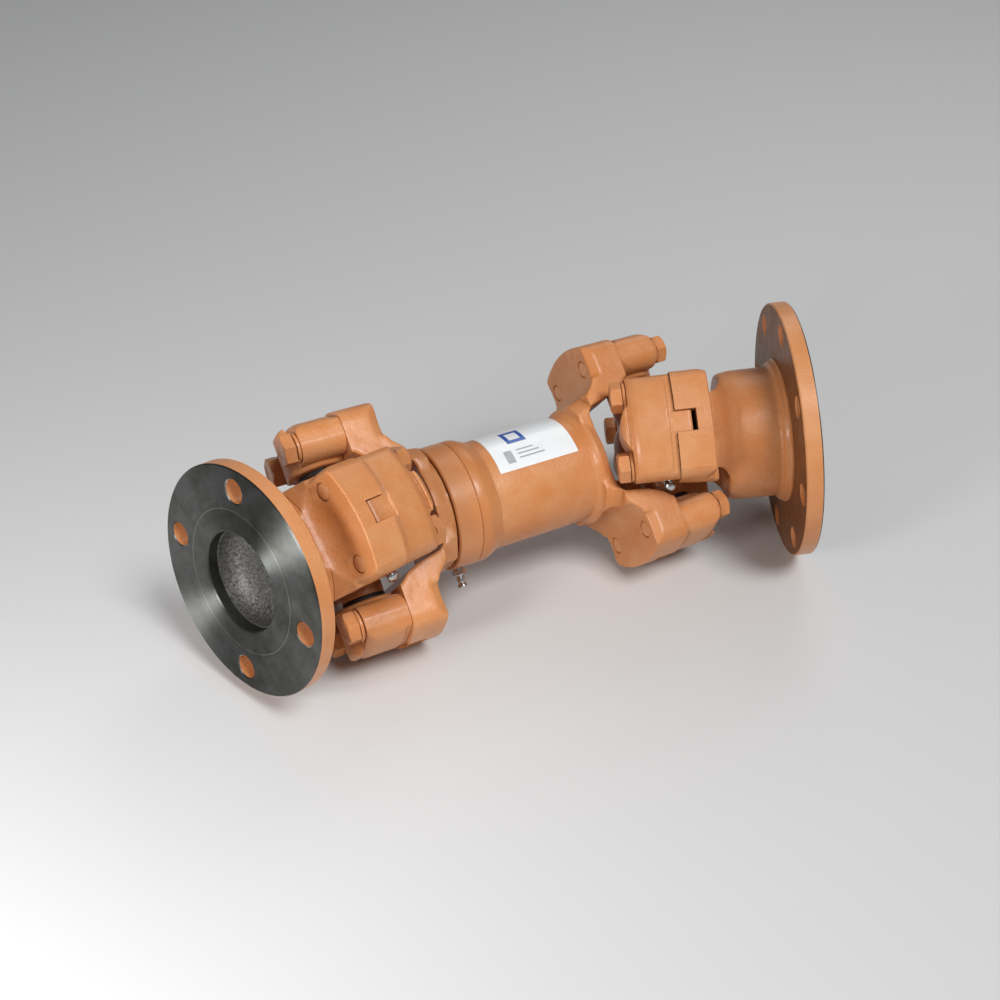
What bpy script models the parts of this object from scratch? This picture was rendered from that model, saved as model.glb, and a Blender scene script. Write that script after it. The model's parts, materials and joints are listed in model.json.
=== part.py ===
"""Universal joint shaft with wing bearings and a sliding spline, lying flexed on its side.

Metres, +Z up, +X along the shaft towards the large flange. Run it with
blender --background --python part.py, or from Blender's text editor.

Every yoke, bearing block and fastener is modelled in its yoke's own frame: the joint
centre is the origin, +X points to the yoke's own hub, and the ears stand along +Z and -Z.
"""

import math

import bmesh
import bpy
from mathutils import Matrix, Vector

# ---- the rest pose: how the shaft lies and how far each joint is bent ----
LEFT_JOINT = Vector((-0.1613, 0.0306, 0.0901))
JOINT_SPACING = 0.2821
SHAFT_ROLL = math.radians(-46.75)
SHAFT_TILT = math.radians(-0.73)
LEFT_CROSS_TURN = math.radians(18.31)
LEFT_YOKE_TURN = math.radians(-8.46)
RIGHT_CROSS_TURN = math.radians(-23.23)
RIGHT_YOKE_TURN = math.radians(14.54)

# ---- shared joint dimensions ----
GAP = 0.0003
PARTING = 0.01785
SWING_RADIUS = 0.0939
BOLT_OUT = 0.0715
BOLT_SIDE = 0.0288
BOLT_RADIUS = 0.007
HOLE_RADIUS = BOLT_RADIUS + GAP
FASTENER_SIDES = 8

# ---- wing bearing block ----
BOSS_RADIUS = 0.0140
BOSS_FACE = -0.0171
BLOCK_SIDE = 0.0418
SPOT_RADIUS = 0.0134
CUP_RADIUS = 0.0256
CUP_INNER = 0.0540
BEARING_BORE = 0.0152
NEEDLE_OUTER = 0.0145
NEEDLE_INNER = 0.0129
BORE_END = 0.0860
KEY_SIDE = 0.0086
KEY_LENGTH = 0.0132
KEYWAY_DEPTH = 0.0165

# ---- cross ----
TRUNNION_RADIUS = 0.0122
TRUNNION_END = 0.0800
SHOULDER_RADIUS = 0.0172
SHOULDER_END = 0.0500
CROSS_CORE = 0.0280
NIPPLE_BOSS_RADIUS = 0.0070
NIPPLE_BOSS_END = 0.0460

# ---- needle bearing with its seal ----
SEAL_RADIUS = 0.0172
SEAL_START = SHOULDER_END + GAP
SEAL_END = CUP_INNER - GAP

# ---- bolts and washers ----
WASHER_RADIUS = 0.0122
WASHER_THICK = 0.0036
HEAD_ACROSS_FLATS = 0.0220
HEAD_END = -0.0306
BOLT_TIP = 0.0465

# ---- yoke lugs ----
LUG_FACE = PARTING + GAP
LUG_BACK = 0.0470
LUG_SIDE = 0.0435
LUG_RADIUS = 0.0960
CROTCH_MOUTH = 0.0545
CROTCH_HALF = 0.0385
CROTCH_DEPTH = 0.0630
CROTCH_CORNER = 0.0100

# The turned outer limit of a yoke's lugs and shoulders, as (x, radius).
SHOULDER_PROFILE = [
    (0.1000, 0.0),
    (0.1000, 0.0520),
    (0.0700, 0.0520),
    (0.0600, 0.0560),
    (0.0537, 0.0623),
    (LUG_BACK + 0.0005, 0.0690),
    (LUG_BACK, LUG_RADIUS),
    (-0.0500, LUG_RADIUS),
    (-0.0500, 0.0),
]

# ---- flanges ----
LEFT_FACE = 0.0974
LEFT_THICK = 0.0136
LEFT_RADIUS = 0.0900
LEFT_BORE = 0.0390
LEFT_BORE_FLOOR = 0.0700
LEFT_HUB = 0.0560
LEFT_PCD_RADIUS = 0.0730
LEFT_HOLE_ANGLE = math.radians(40.0)
LEFT_HOLE_RADIUS = 0.0092
RIGHT_FACE = 0.1275
RIGHT_THICK = 0.0139
RIGHT_RADIUS = 0.1080
RIGHT_BORE = 0.0450
RIGHT_BORE_FLOOR = 0.1170
RIGHT_HUB = 0.0552
RIGHT_PCD_RADIUS = 0.0930
RIGHT_HOLE_RADIUS = 0.0085
RIGHT_HOLES = 8

# ---- sliding spline, along the shaft from the left joint centre ----
NECK_RADIUS = 0.0470
COVER_RADIUS = 0.0503
COVER_START = 0.0780
COVER_END = 0.0985
COVER_WALL = 0.0035
CAP_END = 0.1170
SLEEVE_RADIUS = 0.0450
SLEEVE_START = 0.0840
SPLINE_TEETH = 16
SPLINE_MAJOR = 0.0350
SPLINE_MINOR = 0.0310
SPLINE_END = 0.1850
BORE_LIMIT = 0.2000
SLIP_NIPPLE_AT = 0.0850
SLIP_NIPPLE_ANGLE = math.radians(-168)

ORANGE = (0.72, 0.25, 0.06)
GREY_STEEL = (0.35, 0.34, 0.32)
ZINC = (0.62, 0.63, 0.62)
RUBBER = (0.02, 0.02, 0.02)


def clear_scene():
    for obj in list(bpy.data.objects):
        bpy.data.objects.remove(obj, do_unlink=True)


def new_collection(name):
    collection = bpy.data.collections.new(name)
    bpy.context.scene.collection.children.link(collection)
    return collection


clear_scene()
PARTS = new_collection("universal_joint_shaft")
CUTTERS = new_collection("cutters")
CUTTERS.hide_render = True


def material(name, colour, roughness, metallic):
    made = bpy.data.materials.new(name)
    made.use_nodes = True
    shader = made.node_tree.nodes["Principled BSDF"]
    shader.inputs["Base Color"].default_value = (*colour, 1.0)
    shader.inputs["Roughness"].default_value = roughness
    shader.inputs["Metallic"].default_value = metallic
    return made


def frame(name, parent=None, location=(0, 0, 0), rotation=(0, 0, 0)):
    """An empty that carries the pieces of one frame."""
    empty = bpy.data.objects.new(name, None)
    empty.empty_display_size = 0.03
    empty.location = location
    empty.rotation_euler = rotation
    empty.parent = parent
    PARTS.objects.link(empty)
    return empty


def add_object(name, mesh, parent, matrix=None):
    obj = bpy.data.objects.new(name, mesh)
    obj.parent = parent
    if matrix is not None:
        obj.matrix_local = matrix
    PARTS.objects.link(obj)
    return obj


def as_tool(obj):
    """Turns an object into a hidden helper for the Booleans."""
    PARTS.objects.unlink(obj)
    CUTTERS.objects.link(obj)
    obj.hide_render = True
    obj.display_type = "WIRE"
    return obj


def boolean(obj, tool, operation):
    modifier = obj.modifiers.new(operation.lower() + "_" + tool.name, "BOOLEAN")
    modifier.operation = operation
    modifier.object = tool
    modifier.solver = "EXACT"


def mesh_from(name, bm):
    mesh = bpy.data.meshes.new(name)
    bm.to_mesh(mesh)
    bm.free()
    mesh.shade_smooth()
    mesh.set_sharp_from_angle(angle=math.radians(35))
    return mesh


def cylinder_mesh(name, radius, start, end, axis="X", sides=32, end_radius=None):
    """A closed cylinder or cone between two stations of one axis."""
    bm = bmesh.new()
    top = radius if end_radius is None else end_radius
    bmesh.ops.create_cone(
        bm, cap_ends=True, segments=sides, radius1=radius, radius2=top, depth=end - start
    )
    bmesh.ops.translate(bm, verts=bm.verts, vec=(0, 0, (start + end) / 2))
    if axis == "X":
        bmesh.ops.rotate(bm, verts=bm.verts, matrix=Matrix.Rotation(math.pi / 2, 3, "Y"))
    if axis == "Y":
        bmesh.ops.rotate(bm, verts=bm.verts, matrix=Matrix.Rotation(-math.pi / 2, 3, "X"))
    return mesh_from(name, bm)


def box_mesh(name, low, high):
    bm = bmesh.new()
    bmesh.ops.create_cube(bm, size=1)
    low = Vector(low)
    high = Vector(high)
    bmesh.ops.scale(bm, verts=bm.verts, vec=high - low)
    bmesh.ops.translate(bm, verts=bm.verts, vec=(low + high) / 2)
    return mesh_from(name, bm)


def baked(obj, name):
    """The evaluated mesh of an object, which is then removed."""
    bpy.context.view_layer.update()
    evaluated = obj.evaluated_get(bpy.context.evaluated_depsgraph_get())
    mesh = bpy.data.meshes.new_from_object(evaluated)
    mesh.name = name
    bpy.data.objects.remove(obj, do_unlink=True)
    return mesh


def turned_mesh(name, profile, steps=32):
    """A profile of (x, radius) points turned about the X axis with a Screw modifier.

    A profile that leaves the axis alone is closed into a ring."""
    bm = bmesh.new()
    points = [bm.verts.new((x, radius, 0)) for x, radius in profile]
    for first, second in zip(points, points[1:]):
        bm.edges.new((first, second))
    if min(radius for _, radius in profile) > 0:
        bm.edges.new((points[-1], points[0]))
    mesh = bpy.data.meshes.new(name)
    bm.to_mesh(mesh)
    bm.free()
    obj = add_object(name, mesh, None)
    screw = obj.modifiers.new("turn", "SCREW")
    screw.axis = "X"
    screw.steps = steps
    screw.render_steps = steps
    screw.use_merge_vertices = True
    screw.merge_threshold = 0.00001
    turned = baked(obj, name)
    bm = bmesh.new()
    bm.from_mesh(turned)
    bpy.data.meshes.remove(turned)
    bmesh.ops.recalc_face_normals(bm, faces=bm.faces)
    return mesh_from(name, bm)


def plate_mesh(name, outline, low, high, plane):
    """A flat outline, extruded from low to high along the axis that the plane leaves out."""
    curve = bpy.data.curves.new(name, "CURVE")
    curve.dimensions = "2D"
    curve.fill_mode = "BOTH"
    curve.extrude = (high - low) / 2
    spline = curve.splines.new("POLY")
    spline.points.add(len(outline) - 1)
    for point, (u, v) in zip(spline.points, outline):
        point.co = (u, v, 0, 1)
    spline.use_cyclic_u = True
    holder = bpy.data.objects.new(name, curve)
    PARTS.objects.link(holder)
    bpy.context.view_layer.update()
    evaluated = holder.evaluated_get(bpy.context.evaluated_depsgraph_get())
    flat = bpy.data.meshes.new_from_object(evaluated)
    bpy.data.objects.remove(holder, do_unlink=True)
    bpy.data.curves.remove(curve)
    bm = bmesh.new()
    bm.from_mesh(flat)
    bpy.data.meshes.remove(flat)
    bmesh.ops.remove_doubles(bm, verts=bm.verts, dist=0.00001)
    bmesh.ops.translate(bm, verts=bm.verts, vec=(0, 0, (low + high) / 2))
    turns = {
        "XY": Matrix.Identity(3),
        "XZ": Matrix(((1, 0, 0), (0, 0, -1), (0, 1, 0))),
        "YZ": Matrix(((0, 0, 1), (1, 0, 0), (0, 1, 0))),
    }
    bmesh.ops.rotate(bm, verts=bm.verts, matrix=turns[plane])
    bmesh.ops.recalc_face_normals(bm, faces=bm.faces)
    return mesh_from(name, bm)


def arc(centre, radius, start, end, count):
    """Points on an arc, with its angles in degrees."""
    angles = [math.radians(start + (end - start) * step / count) for step in range(count + 1)]
    return [(centre[0] + radius * math.cos(a), centre[1] + radius * math.sin(a)) for a in angles]


def mirrored(half):
    """A closed outline from its half with v >= 0, which starts and ends away from v = 0."""
    return half + [(u, -v) for u, v in reversed(half)]


# ---------------------------------------------------------------- bearing blocks


def block_outline():
    """The block seen along the shaft: two bolt bosses under one outer arc, as (y, z)."""
    corner = math.degrees(math.acos(BLOCK_SIDE / SWING_RADIUS))
    right_boss = arc((BOLT_SIDE, BOLT_OUT), BOSS_RADIUS, -105, -5, 4)
    left_boss = arc((-BOLT_SIDE, BOLT_OUT), BOSS_RADIUS, 185, 285, 4)
    outer = arc((0, 0), SWING_RADIUS, corner, 180 - corner, 7)
    return right_boss + outer + left_boss


def cup_outline():
    """The round bearing housing seen from outside, cut off flat at the parting face, as (x, y)."""
    flat = math.degrees(math.acos(PARTING / CUP_RADIUS))
    return arc((0, 0), CUP_RADIUS, flat, 360 - flat, 13)


def block_mesh():
    body = add_object("block_body", plate_mesh("body", block_outline(), BOSS_FACE, PARTING, "YZ"), None)
    cup = plate_mesh("cup", cup_outline(), CUP_INNER, SWING_RADIUS + 0.002, "XY")
    cup = add_object("block_cup", cup, None)
    swing = cylinder_mesh("swing", SWING_RADIUS, -0.05, 0.05, sides=42)
    boolean(cup, as_tool(add_object("block_swing", swing, None)), "INTERSECT")
    boolean(body, as_tool(cup), "UNION")
    key = box_mesh("key", (0.0, -KEY_SIDE, CUP_INNER + 0.004), (PARTING + KEY_LENGTH, KEY_SIDE, 0.0925))
    boolean(body, as_tool(add_object("block_key", key, None)), "UNION")
    bore = cylinder_mesh("bore", BEARING_BORE, CUP_INNER - 0.01, BORE_END, axis="Z", sides=14)
    boolean(body, as_tool(add_object("block_bore", bore, None)), "DIFFERENCE")
    for side in (-1, 1):
        hole = cylinder_mesh("hole", HOLE_RADIUS, -0.05, 0.05, sides=FASTENER_SIDES)
        spot = cylinder_mesh("spot", SPOT_RADIUS, -0.05, BOSS_FACE, sides=14)
        for mesh in (hole, spot):
            tool = as_tool(add_object("block_drill", mesh, None))
            tool.location = (0, side * BOLT_SIDE, BOLT_OUT)
            boolean(body, tool, "DIFFERENCE")
    return baked(body, "wing_bearing_block")


def needle_bearing_mesh():
    """The needle bearing of one trunnion, drawn as one sleeve with its seal at the open end."""
    profile = [
        (BORE_END - 0.003, NEEDLE_INNER),
        (BORE_END - 0.003, NEEDLE_OUTER),
        (SEAL_END, NEEDLE_OUTER),
        (SEAL_END, SEAL_RADIUS),
        (SEAL_START, SEAL_RADIUS),
        (SEAL_START, NEEDLE_INNER),
    ]
    mesh = turned_mesh("needle_bearing", profile, steps=14)
    mesh.transform(Matrix.Rotation(-math.pi / 2, 4, "Y"))
    return mesh


def bolt_mesh():
    """A hexagon bolt along X, with its head on the block's side."""
    head_start = BOSS_FACE - WASHER_THICK - GAP
    corner = HEAD_ACROSS_FLATS / math.sqrt(3)
    head = add_object("head", cylinder_mesh("head", corner, HEAD_END, head_start, sides=6), None)
    shank = cylinder_mesh("shank", BOLT_RADIUS, head_start - 0.003, BOLT_TIP, sides=FASTENER_SIDES)
    boolean(head, as_tool(add_object("shank", shank, None)), "UNION")
    return baked(head, "hex_bolt")


def washer_mesh():
    low = BOSS_FACE - WASHER_THICK
    high = BOSS_FACE - GAP
    profile = [(high, HOLE_RADIUS), (high, WASHER_RADIUS), (low, WASHER_RADIUS), (low, HOLE_RADIUS)]
    return turned_mesh("lock_washer", profile, steps=FASTENER_SIDES)


# ---------------------------------------------------------------- crosses and nipples


def cross_mesh():
    core = bmesh.new()
    bmesh.ops.create_uvsphere(core, u_segments=12, v_segments=8, radius=CROSS_CORE)
    body = add_object("cross_core", mesh_from("core", core), None)
    for axis in "YZ":
        shoulder = cylinder_mesh("shoulder", SHOULDER_RADIUS, -SHOULDER_END, SHOULDER_END, axis, 14)
        boolean(body, as_tool(add_object("cross_shoulder", shoulder, None)), "UNION")
        trunnion = cylinder_mesh("trunnion", TRUNNION_RADIUS, -TRUNNION_END, TRUNNION_END, axis, 14)
        boolean(body, as_tool(add_object("cross_trunnion", trunnion, None)), "UNION")
    boss = cylinder_mesh("boss", NIPPLE_BOSS_RADIUS, 0.01, NIPPLE_BOSS_END, "Z", 8)
    boss.transform(Matrix.Rotation(math.radians(135), 4, "X"))
    boolean(body, as_tool(add_object("cross_boss", boss, None)), "UNION")
    return baked(body, "cross")


def nipple_mesh(length):
    """A grease nipple along +Z: hexagon foot, neck and ball head."""
    foot = 0.0048
    profile = [
        (length, 0.0),
        (length, 0.0020),
        (length - 0.0012, 0.0032),
        (length - 0.0036, 0.0032),
        (length - 0.0058, 0.0024),
        (0.0072, 0.0026),
        (0.0068, foot),
        (0.0, foot),
        (0.0, 0.0),
    ]
    mesh = turned_mesh("grease_nipple", profile, steps=8)
    mesh.transform(Matrix.Rotation(-math.pi / 2, 4, "Y"))
    return mesh


# ---------------------------------------------------------------- yokes


def crotch_outline():
    """The open side of a yoke between its lugs, as (x, z): a flared mouth and a rounded end."""
    corner = (CROTCH_DEPTH - CROTCH_CORNER, CROTCH_HALF - CROTCH_CORNER)
    half = [(-0.03, CROTCH_MOUTH), (LUG_FACE, CROTCH_MOUTH), (0.0260, 0.0470), (0.0380, 0.0415)]
    half += arc(corner, CROTCH_CORNER, 68, 0, 5)
    return mirrored(half)


def arms_outline(neck_radius, neck_end):
    """Both arms of a yoke seen from the side, as (x, z), still joined across the crotch."""
    fillet = 0.014
    root = arc((LUG_BACK + fillet, neck_radius + fillet), fillet, 180, 270, 5)
    half = [(LUG_FACE, LUG_RADIUS + 0.002), (LUG_BACK, LUG_RADIUS + 0.002)]
    half += root + [(neck_end, neck_radius)]
    return mirrored(half)


def cut_lugs(yoke):
    """Machines the lugs of a yoke: swing diameter, crotch, keyway and bolt holes."""
    crotch = plate_mesh("crotch", crotch_outline(), -0.07, 0.07, "XZ")
    boolean(yoke, fitted_tool("crotch", crotch, yoke), "DIFFERENCE")
    keyway = box_mesh(
        "keyway",
        (0, -KEY_SIDE - GAP, -0.11),
        (LUG_FACE + KEYWAY_DEPTH, KEY_SIDE + GAP, 0.11),
    )
    boolean(yoke, fitted_tool("keyway", keyway, yoke), "DIFFERENCE")
    for end in (-1, 1):
        for side in (-1, 1):
            hole = cylinder_mesh("hole", HOLE_RADIUS, 0, 0.055, sides=FASTENER_SIDES)
            hole.transform(Matrix.Translation((0, side * BOLT_SIDE, end * BOLT_OUT)))
            boolean(yoke, fitted_tool("lug_hole", hole, yoke), "DIFFERENCE")


def fitted_tool(name, mesh, yoke):
    """A helper in the frame of a yoke."""
    return as_tool(add_object(yoke.name + "_" + name, mesh, yoke.parent))


def yoke_object(name, parent, hub_profile, neck_radius, neck_end, hub_steps=32):
    """Two lugs on a turned hub."""
    arms = plate_mesh(name, arms_outline(neck_radius, neck_end), -LUG_SIDE, LUG_SIDE, "XZ")
    yoke = add_object(name, arms, parent)
    swing = turned_mesh("swing", SHOULDER_PROFILE, 38)
    boolean(yoke, fitted_tool("swing", swing, yoke), "INTERSECT")
    hub = turned_mesh("hub", hub_profile, hub_steps)
    boolean(yoke, fitted_tool("hub", hub, yoke), "UNION")
    return yoke


def drill(yoke, positions, radius, start, end, sides=10):
    """Holes along X at (y, z) positions."""
    for y, z in positions:
        hole = cylinder_mesh("hole", radius, start, end, sides=sides)
        hole.transform(Matrix.Translation((0, y, z)))
        boolean(yoke, fitted_tool("flange_hole", hole, yoke), "DIFFERENCE")


def left_flange_yoke(parent):
    back = LEFT_FACE - LEFT_THICK
    profile = [
        (LEFT_FACE, LEFT_BORE),
        (LEFT_FACE, LEFT_RADIUS - 0.0008),
        (LEFT_FACE - 0.0008, LEFT_RADIUS),
        (back + 0.0008, LEFT_RADIUS),
        (back, LEFT_RADIUS - 0.0008),
        (back, LEFT_HUB + 0.005),
        (back - 0.004, LEFT_HUB + 0.001),
        (0.060, LEFT_HUB - 0.005),
        (0.054, LEFT_HUB - 0.010),
        (0.054, 0.0),
        (LEFT_BORE_FLOOR, 0.0),
        (LEFT_BORE_FLOOR, LEFT_BORE - 0.010),
        (LEFT_BORE_FLOOR + 0.009, LEFT_BORE - 0.001),
    ]
    yoke = yoke_object("left_flange_yoke", parent, ring_order(profile), 0.050, LEFT_BORE_FLOOR - 0.006, 40)
    cut_lugs(yoke)
    angles = [sign * LEFT_HOLE_ANGLE + turn for turn in (0, math.pi) for sign in (-1, 1)]
    spots = [(LEFT_PCD_RADIUS * math.cos(a), LEFT_PCD_RADIUS * math.sin(a)) for a in angles]
    drill(yoke, spots, LEFT_HOLE_RADIUS, back - 0.005, LEFT_FACE + 0.005)
    return yoke


def right_flange_yoke(parent):
    back = RIGHT_FACE - RIGHT_THICK
    profile = [
        (RIGHT_FACE, RIGHT_BORE),
        (RIGHT_FACE, RIGHT_RADIUS - 0.0008),
        (RIGHT_FACE - 0.0008, RIGHT_RADIUS),
        (back + 0.0008, RIGHT_RADIUS),
        (back, RIGHT_RADIUS - 0.0008),
        (back, RIGHT_HUB + 0.005),
        (back - 0.004, RIGHT_HUB + 0.0035),
        (back - 0.0055, RIGHT_HUB),
        (0.056, RIGHT_HUB),
        (0.052, RIGHT_HUB - 0.004),
        (0.052, 0.0),
        (RIGHT_BORE_FLOOR, 0.0),
        (RIGHT_BORE_FLOOR, RIGHT_BORE - 0.002),
        (RIGHT_BORE_FLOOR + 0.004, RIGHT_BORE),
    ]
    yoke = yoke_object("right_flange_yoke", parent, ring_order(profile), 0.050, 0.080, 40)
    cut_lugs(yoke)
    angles = [2 * math.pi * hole / RIGHT_HOLES for hole in range(RIGHT_HOLES)]
    spots = [(RIGHT_PCD_RADIUS * math.cos(a), RIGHT_PCD_RADIUS * math.sin(a)) for a in angles]
    drill(yoke, spots, RIGHT_HOLE_RADIUS, back - 0.005, RIGHT_FACE + 0.005)
    return yoke


def ring_order(profile):
    """Starts a hub's profile on the axis, in the floor of its bore."""
    zeros = [index for index, (_, radius) in enumerate(profile) if radius == 0.0]
    return profile[zeros[1]:] + profile[:zeros[0] + 1]


def spline_outline(major, minor, teeth):
    """A straight-sided spline seen along the shaft, as (y, z)."""
    outline = []
    for tooth in range(teeth):
        base = 360 / teeth * tooth
        outline += arc((0, 0), minor, base - 0.27 * 360 / teeth, base + 0.27 * 360 / teeth, 1)
        outline += arc((0, 0), major, base + 0.31 * 360 / teeth, base + 0.69 * 360 / teeth, 1)
    return outline


def spline_shaft_yoke(parent):
    profile = [
        (0.100, 0.0),
        (0.100, SPLINE_MINOR - 0.001),
        (COVER_START + 0.004, SPLINE_MINOR - 0.001),
        (COVER_START + 0.004, COVER_RADIUS - COVER_WALL - GAP),
        (COVER_START - GAP, COVER_RADIUS - COVER_WALL - GAP),
        (COVER_START - GAP, COVER_RADIUS - 0.001),
        (0.074, NECK_RADIUS),
        (0.069, 0.0495),
        (0.062, 0.0500),
        (0.056, 0.0460),
        (0.056, 0.0),
    ]
    yoke = yoke_object("spline_shaft_yoke", parent, profile, NECK_RADIUS, 0.074)
    cut_lugs(yoke)
    outline = spline_outline(SPLINE_MAJOR, SPLINE_MINOR, SPLINE_TEETH)
    stub = plate_mesh("stub", outline, 0.080, SPLINE_END, "YZ")
    boolean(yoke, fitted_tool("stub", stub, yoke), "UNION")
    return yoke


def spline_sleeve_yoke(parent):
    """The yoke's own frame starts at the right joint, so the sleeve's open end has the highest x."""
    open_end = JOINT_SPACING - SLEEVE_START
    floor = JOINT_SPACING - BORE_LIMIT
    profile = [
        (open_end, 0.0),
        (open_end, SLEEVE_RADIUS),
        (0.080, SLEEVE_RADIUS),
        (0.077, 0.0460),
        (0.074, 0.0492),
        (0.071, 0.0495),
        (0.060, 0.0435),
        (0.056, 0.0390),
        (0.056, 0.0),
    ]
    yoke = yoke_object("spline_sleeve_yoke", parent, profile, NECK_RADIUS - 0.001, 0.074)
    cut_lugs(yoke)
    broach = spline_outline(SPLINE_MAJOR + GAP, SPLINE_MINOR + GAP, SPLINE_TEETH)
    bore = plate_mesh("broach", broach, floor, open_end + 0.01, "YZ")
    boolean(yoke, fitted_tool("broach", bore, yoke), "DIFFERENCE")
    return yoke


def cover_tube(parent):
    inner = COVER_RADIUS - COVER_WALL
    end = COVER_END - GAP
    profile = [(end, inner), (end, COVER_RADIUS), (COVER_START, COVER_RADIUS), (COVER_START, inner)]
    return add_object("spline_cover_tube", turned_mesh("spline_cover_tube", profile), parent)


def seal_cap(parent):
    profile = [
        (CAP_END, SLEEVE_RADIUS + GAP),
        (CAP_END, SLEEVE_RADIUS + 0.0010),
        (CAP_END - 0.005, 0.0475),
        (CAP_END - 0.009, 0.0500),
        (CAP_END - 0.013, COVER_RADIUS + 0.0004),
        (COVER_END, COVER_RADIUS),
        (COVER_END, COVER_RADIUS - COVER_WALL + 0.0008),
        (CAP_END - 0.008, COVER_RADIUS - COVER_WALL + 0.0008),
        (CAP_END - 0.008, SLEEVE_RADIUS + GAP),
    ]
    return add_object("seal_cap", turned_mesh("seal_cap", profile), parent)


def wiper_seal(parent):
    inner = SLEEVE_RADIUS + GAP
    outer = COVER_RADIUS - COVER_WALL + 0.0008 - GAP
    low = COVER_END + 0.002
    high = CAP_END - 0.008 - GAP
    profile = [(high, inner), (high, outer), (low, outer), (low, inner)]
    return add_object("wiper_seal", turned_mesh("wiper_seal", profile), parent)


# ---------------------------------------------------------------- assembly


def bolt_on_bearings(prefix, parent, shared, materials):
    """The two blocks of one yoke with their bearings, bolts and lock washers."""
    for end, turn in enumerate((0, math.pi), start=1):
        around = Matrix.Rotation(turn, 4, "X")
        add_part(f"{prefix}_bearing_block_{end}", shared["block"], parent, materials["orange"], around)
        add_part(f"{prefix}_needle_bearing_{end}", shared["needle"], parent, materials["grey"], around)
        for number, side in enumerate((-1, 1), start=2 * end - 1):
            place = around @ Matrix.Translation((0, side * BOLT_SIDE, BOLT_OUT))
            add_part(f"{prefix}_bolt_{number}", shared["bolt"], parent, materials["orange"], place)
            add_part(f"{prefix}_lock_washer_{number}", shared["washer"], parent, materials["orange"], place)


def add_part(name, mesh, parent, finish, matrix=None):
    obj = add_object(name, mesh, parent, matrix)
    if not mesh.materials:
        mesh.materials.append(finish)
    return obj


def finish_part(obj, finish):
    obj.data.materials.append(finish)
    return obj


def add_cross(prefix, parent, shared, materials):
    add_part(f"{prefix}_cross", shared["cross"], parent, materials["orange"])
    outward = Matrix.Rotation(math.radians(135), 4, "X")
    place = outward @ Matrix.Translation((0, 0, NIPPLE_BOSS_END + GAP))
    add_part(f"{prefix}_cross_grease_nipple", shared["nipple"], parent, materials["zinc"], place)


def build():
    materials = {
        "orange": material("orange_paint", ORANGE, 0.40, 0.0),
        "grey": material("grey_steel", GREY_STEEL, 0.30, 1.0),
        "zinc": material("zinc_plate", ZINC, 0.25, 1.0),
        "rubber": material("black_rubber", RUBBER, 0.70, 0.0),
    }
    shared = {
        "block": block_mesh(),
        "needle": needle_bearing_mesh(),
        "bolt": bolt_mesh(),
        "washer": washer_mesh(),
        "cross": cross_mesh(),
        "nipple": nipple_mesh(0.022),
    }
    shaft = frame("shaft_frame", None, LEFT_JOINT, (SHAFT_ROLL, SHAFT_TILT, 0))
    slide = frame("slide_frame", shaft, (JOINT_SPACING, 0, 0), (0, 0, math.pi))
    left_cross = frame("left_cross_frame", shaft, (0, 0, 0), (0, 0, LEFT_CROSS_TURN))
    left_hinge = frame("left_flange_hinge", left_cross, (0, 0, 0), (0, LEFT_YOKE_TURN, 0))
    left_yoke = frame("left_flange_frame", left_hinge, (0, 0, 0), (math.pi / 2, 0, math.pi))
    right_cross = frame("right_cross_frame", shaft, (JOINT_SPACING, 0, 0), (0, 0, RIGHT_CROSS_TURN))
    right_hinge = frame("right_flange_hinge", right_cross, (0, 0, 0), (0, RIGHT_YOKE_TURN, 0))
    right_yoke = frame("right_flange_frame", right_hinge, (0, 0, 0), (math.pi / 2, 0, 0))

    finish_part(left_flange_yoke(left_yoke), materials["orange"])
    finish_part(right_flange_yoke(right_yoke), materials["orange"])
    finish_part(spline_shaft_yoke(shaft), materials["orange"])
    finish_part(spline_sleeve_yoke(slide), materials["orange"])
    finish_part(cover_tube(shaft), materials["orange"])
    finish_part(seal_cap(shaft), materials["orange"])
    finish_part(wiper_seal(shaft), materials["rubber"])
    nipple_turn = Matrix.Rotation(SLIP_NIPPLE_ANGLE, 4, "X")
    nipple_foot = Matrix.Translation((SLIP_NIPPLE_AT, 0, 0)) @ nipple_turn
    nipple_place = nipple_foot @ Matrix.Translation((0, 0, COVER_RADIUS + GAP))
    add_part("slip_grease_nipple", nipple_mesh(0.017), shaft, materials["zinc"], nipple_place)
    add_cross("left", left_cross, shared, materials)
    add_cross("right", right_cross, shared, materials)
    bolt_on_bearings("left_flange", left_yoke, shared, materials)
    bolt_on_bearings("right_flange", right_yoke, shared, materials)
    bolt_on_bearings("shaft_yoke", shaft, shared, materials)
    bolt_on_bearings("sleeve_yoke", slide, shared, materials)


build()
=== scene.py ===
"""Looks of the universal joint shaft: fine castings, fasteners, paint, bare steel, lights and camera.

Metres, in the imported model's frame. Each yoke has a frame of its own: the joint centre is
the origin, +X points to the yoke's hub, and its two lugs stand along +Z and -Z.
"""

import json
import math

import bmesh
import bpy
from mathutils import Matrix, Vector, noise


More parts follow.
